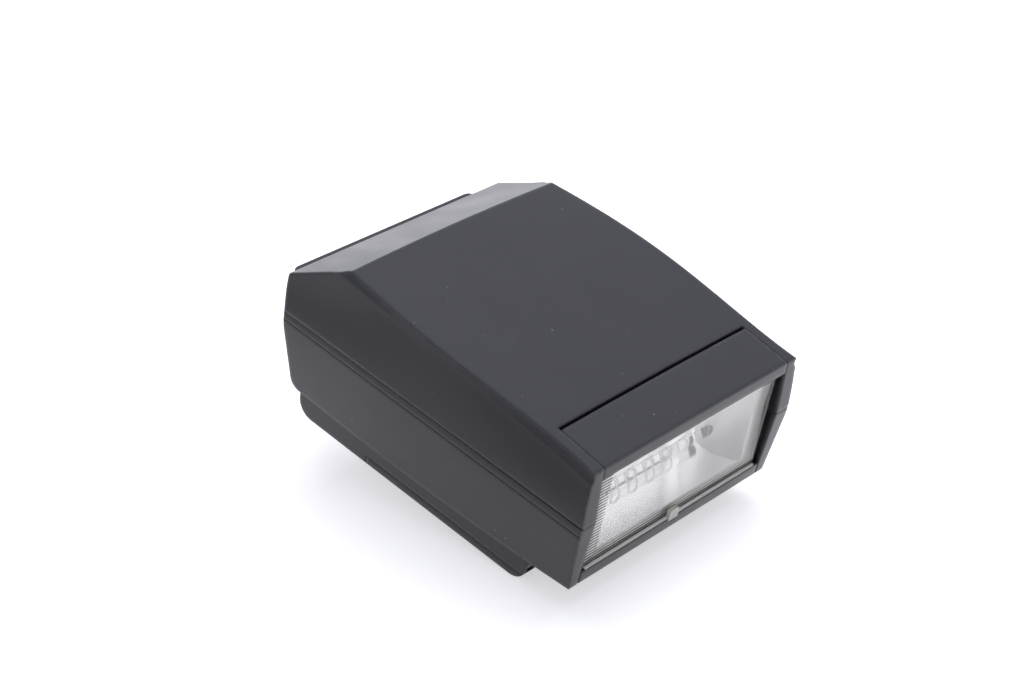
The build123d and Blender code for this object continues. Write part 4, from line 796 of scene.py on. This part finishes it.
def wound_wire(name):
    """Varnished copper turns, as fine bands."""
    material, tree, shader = new_material(name)
    shader.inputs["Coat Weight"].default_value = 0.4
    place = tree.nodes.new("ShaderNodeTexCoord").outputs["Object"]
    turns = tree.nodes.new("ShaderNodeTexWave")
    turns.bands_direction = "X"
    turns.inputs["Scale"].default_value = WIRE_SCALE
    turns.inputs["Distortion"].default_value = 0.6
    turns.inputs["Detail"].default_value = 1.0
    tree.links.new(place, turns.inputs["Vector"])
    copper = blend_colour(tree, turns.outputs["Fac"], (0.16, 0.07, 0.025, 1), (0.52, 0.26, 0.10, 1))
    tree.links.new(copper, shader.inputs["Base Color"])
    tree.links.new(blend_value(tree, turns.outputs["Fac"], 0.42, 0.25), shader.inputs["Roughness"])
    add_bump(tree, shader, turns.outputs["Fac"], 0.6, 0.00006)
    return material


finishes["winding"] = wound_wire("varnished_winding")
print("winding", finishes["winding"].name)


# %% [markdown]
# The film on the cells and the capacitor is glossy, with fine wrinkles along it. The cells have
# a band in a second, bronze colour at their rear end, found from the first cell's own box. It
# carries no words, and the capacitor's film is all one colour.

# %% Shrunk film
BAND_FROM = 0.72
WRINKLE_DEPTH = 0.00003


def shrunk_film(name, colour, band):
    """Glossy film with a plain band of a second colour towards the rear end."""
    material, tree, shader = new_material(name)
    shader.inputs["Coat Weight"].default_value = 0.5
    shader.inputs["Coat Roughness"].default_value = 0.1
    place = tree.nodes.new("ShaderNodeTexCoord").outputs["Object"]
    spot = tree.nodes.new("ShaderNodeSeparateXYZ")
    tree.links.new(place, spot.inputs[0])
    cell_low, cell_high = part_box("cell_1")
    band_y = cell_low.y + BAND_FROM * (cell_high.y - cell_low.y)
    beyond = maths(tree, "GREATER_THAN", spot.outputs["Y"], band_y)
    folds = noise(tree, place, 400.0, 3.0, (1.0, 0.15, 1.0))
    first = blend_colour(tree, folds, scaled_colour(colour, 0.85), scaled_colour(colour, 1.15))
    second = blend_colour(tree, folds, scaled_colour(band, 0.85), scaled_colour(band, 1.1))
    tree.links.new(blend_colour(tree, beyond, first, second), shader.inputs["Base Color"])
    tree.links.new(blend_value(tree, folds, 0.22, 0.34), shader.inputs["Roughness"])
    add_bump(tree, shader, folds, 0.4, WRINKLE_DEPTH)
    return material


finishes["cell_jacket"] = shrunk_film("plain_cell_film", (0.045, 0.055, 0.075), (0.42, 0.30, 0.12))
finishes["capacitor_can"] = shrunk_film("capacitor_sleeve", (0.02, 0.02, 0.023), (0.02, 0.02, 0.023))
print("films", finishes["cell_jacket"].name, finishes["capacitor_can"].name)

# %% [markdown]
# ## Display and lamp
#
# The display is a grey-green glass cell behind its clear window. Switched off it is blank: only
# the faint grid of its segments' backing shows. Segments could be cut as shapes, but none is lit,
# so a brick texture's joints are enough, over a slow noise that clouds the glass.

# %% Blank display
SEGMENTS_SCALE = 900.0
display_finish, tree, shader = new_material("blank_display")
place = tree.nodes.new("ShaderNodeTexCoord").outputs["Object"]
grid = tree.nodes.new("ShaderNodeTexBrick")
tree.links.new(place, grid.inputs["Vector"])
grid.inputs["Scale"].default_value = SEGMENTS_SCALE
grid.inputs["Mortar Size"].default_value = 0.04
cloud = noise(tree, place, 90.0, 3.0)
pale = blend_colour(tree, cloud, (0.20, 0.24, 0.19, 1), (0.27, 0.31, 0.25, 1))
lines = maths(tree, "MULTIPLY", grid.outputs["Fac"], 0.25)
tree.links.new(blend_colour(tree, lines, pale, (0.14, 0.17, 0.13, 1)), shader.inputs["Base Color"])
tree.links.new(blend_value(tree, cloud, 0.12, 0.2), shader.inputs["Roughness"])
add_bump(tree, shader, cloud, 0.05, 0.00001)
finishes["display_glass"] = display_finish
print("display", display_finish.name)

# %% [markdown]
# The ready lamp is a small glossy red dome. A little light goes into the plastic and comes out
# beside, so it has some subsurface, and a fine noise swirls its red as in tinted resin.

# %% Ready lamp
lamp_finish, tree, shader = new_material("ready_lamp_red")
shader.inputs["Coat Weight"].default_value = 0.6
shader.inputs["Subsurface Weight"].default_value = 0.3
shader.inputs["Subsurface Radius"].default_value = (0.002, 0.0005, 0.0003)
place = tree.nodes.new("ShaderNodeTexCoord").outputs["Object"]
swirl = noise(tree, place, 600.0, 2.0)
red = blend_colour(tree, swirl, (0.42, 0.025, 0.012, 1), (0.62, 0.06, 0.02, 1))
tree.links.new(red, shader.inputs["Base Color"])
tree.links.new(blend_value(tree, swirl, 0.1, 0.18), shader.inputs["Roughness"])
add_bump(tree, shader, swirl, 0.1, 0.00001)
finishes["lamp_red"] = lamp_finish
print("finishes", len(finishes))

# %% [markdown]
# ## The window's foot rim
#
# Under the ribs the real window ends in a thin clear rim that lies on the lower lip, with a gap
# for the clip in the middle. It is too fine a trim to be a solid of its own, so it is made here:
# a small section with cut front corners, drawn as a list of points, is swept straight along each
# half of the window's width. It is set from the window, the lip and the clip, and moves with the
# head.
#
# One fault is left in it. The corner has to be under a third of the height and is two thirds, so
# the section crosses itself in front, and a sliver of it dips 0.05 mm into the lip. A corner of
# 0.00008 would clear that.

# %% Foot rim
WINDOW_OVERLAP = 0.0010
FOOT_RIM_HEIGHT = 0.0003
FOOT_RIM_CLEAR = 0.00005
FOOT_RIM_CORNER = 0.0002
FOOT_RIM_INSET = 0.0003
clip_low, clip_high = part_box("lens_clip")
window_points = [vertex.co for vertex in nodes["lens_panel"].data.vertices]
sill = window_low.z + WINDOW_OVERLAP + FOOT_RIM_CLEAR
crest = sill + FOOT_RIM_HEIGHT
face = min(point.y for point in window_points if point.z < sill) - 2 * FOOT_RIM_CLEAR
lip = clip_low.y + FOOT_RIM_INSET
section = [
    (face, sill), (lip + FOOT_RIM_CORNER, sill), (lip, sill + FOOT_RIM_CORNER),
    (lip, crest - 2 * FOOT_RIM_CORNER), (lip + 0.5 * FOOT_RIM_CORNER, crest - 0.8 * FOOT_RIM_CORNER),
    (lip + 1.5 * FOOT_RIM_CORNER, crest), (face, crest),
]
near = clip_high.x + 2 * FOOT_RIM_CLEAR
far = window_high.x - FOOT_RIM_INSET
points = []
faces = []
count = len(section)
for side in (-1, 1):
    start = len(points)
    for x in sorted((side * near, side * far)):
        points += [(x, y, z) for y, z in section]
    end = start + count
    for k in range(count):
        after = (k + 1) % count
        faces.append([start + k, start + after, end + after, end + k])
    faces += [[start + k for k in reversed(range(count))], [end + k for k in range(count)]]
rim_mesh = bpy.data.meshes.new("window_foot_rim")
rim_mesh.from_pydata(points, [], faces)
foot_rim = bpy.data.objects.new("window_foot_rim", rim_mesh)
scene.collection.objects.link(foot_rim)
rim_mesh.materials.append(finishes["clip_acrylic"])
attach(foot_rim, "head")
print("foot rim", round((face - lip) * 1000, 2), "mm deep at", round(sill * 1000, 2), "mm")

# %% [markdown]
# ## Dressing the parts
#
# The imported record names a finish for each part, so the parts are dressed by one loop over it,
# and a part with no finish stops the script. Three parts share a slot with others but look a
# little different, so they get their own: the clip, the reflector's ends and the tube's sleeves.

# %% Dress every part
slots = {part["node"]: part["material_slot"] for part in frame["record"]["subparts"]}
slots["lens_clip"] = "clip_acrylic"
slots["reflector_cheeks"] = "mirror_cheek"
slots["tube_sleeves"] = "sleeve_rubber"
for name, part in nodes.items():
    part.data.materials.clear()
    part.data.materials.append(finishes[slots[name]])
print("dressed", len(nodes), "parts in", len(set(slots.values())), "finishes")
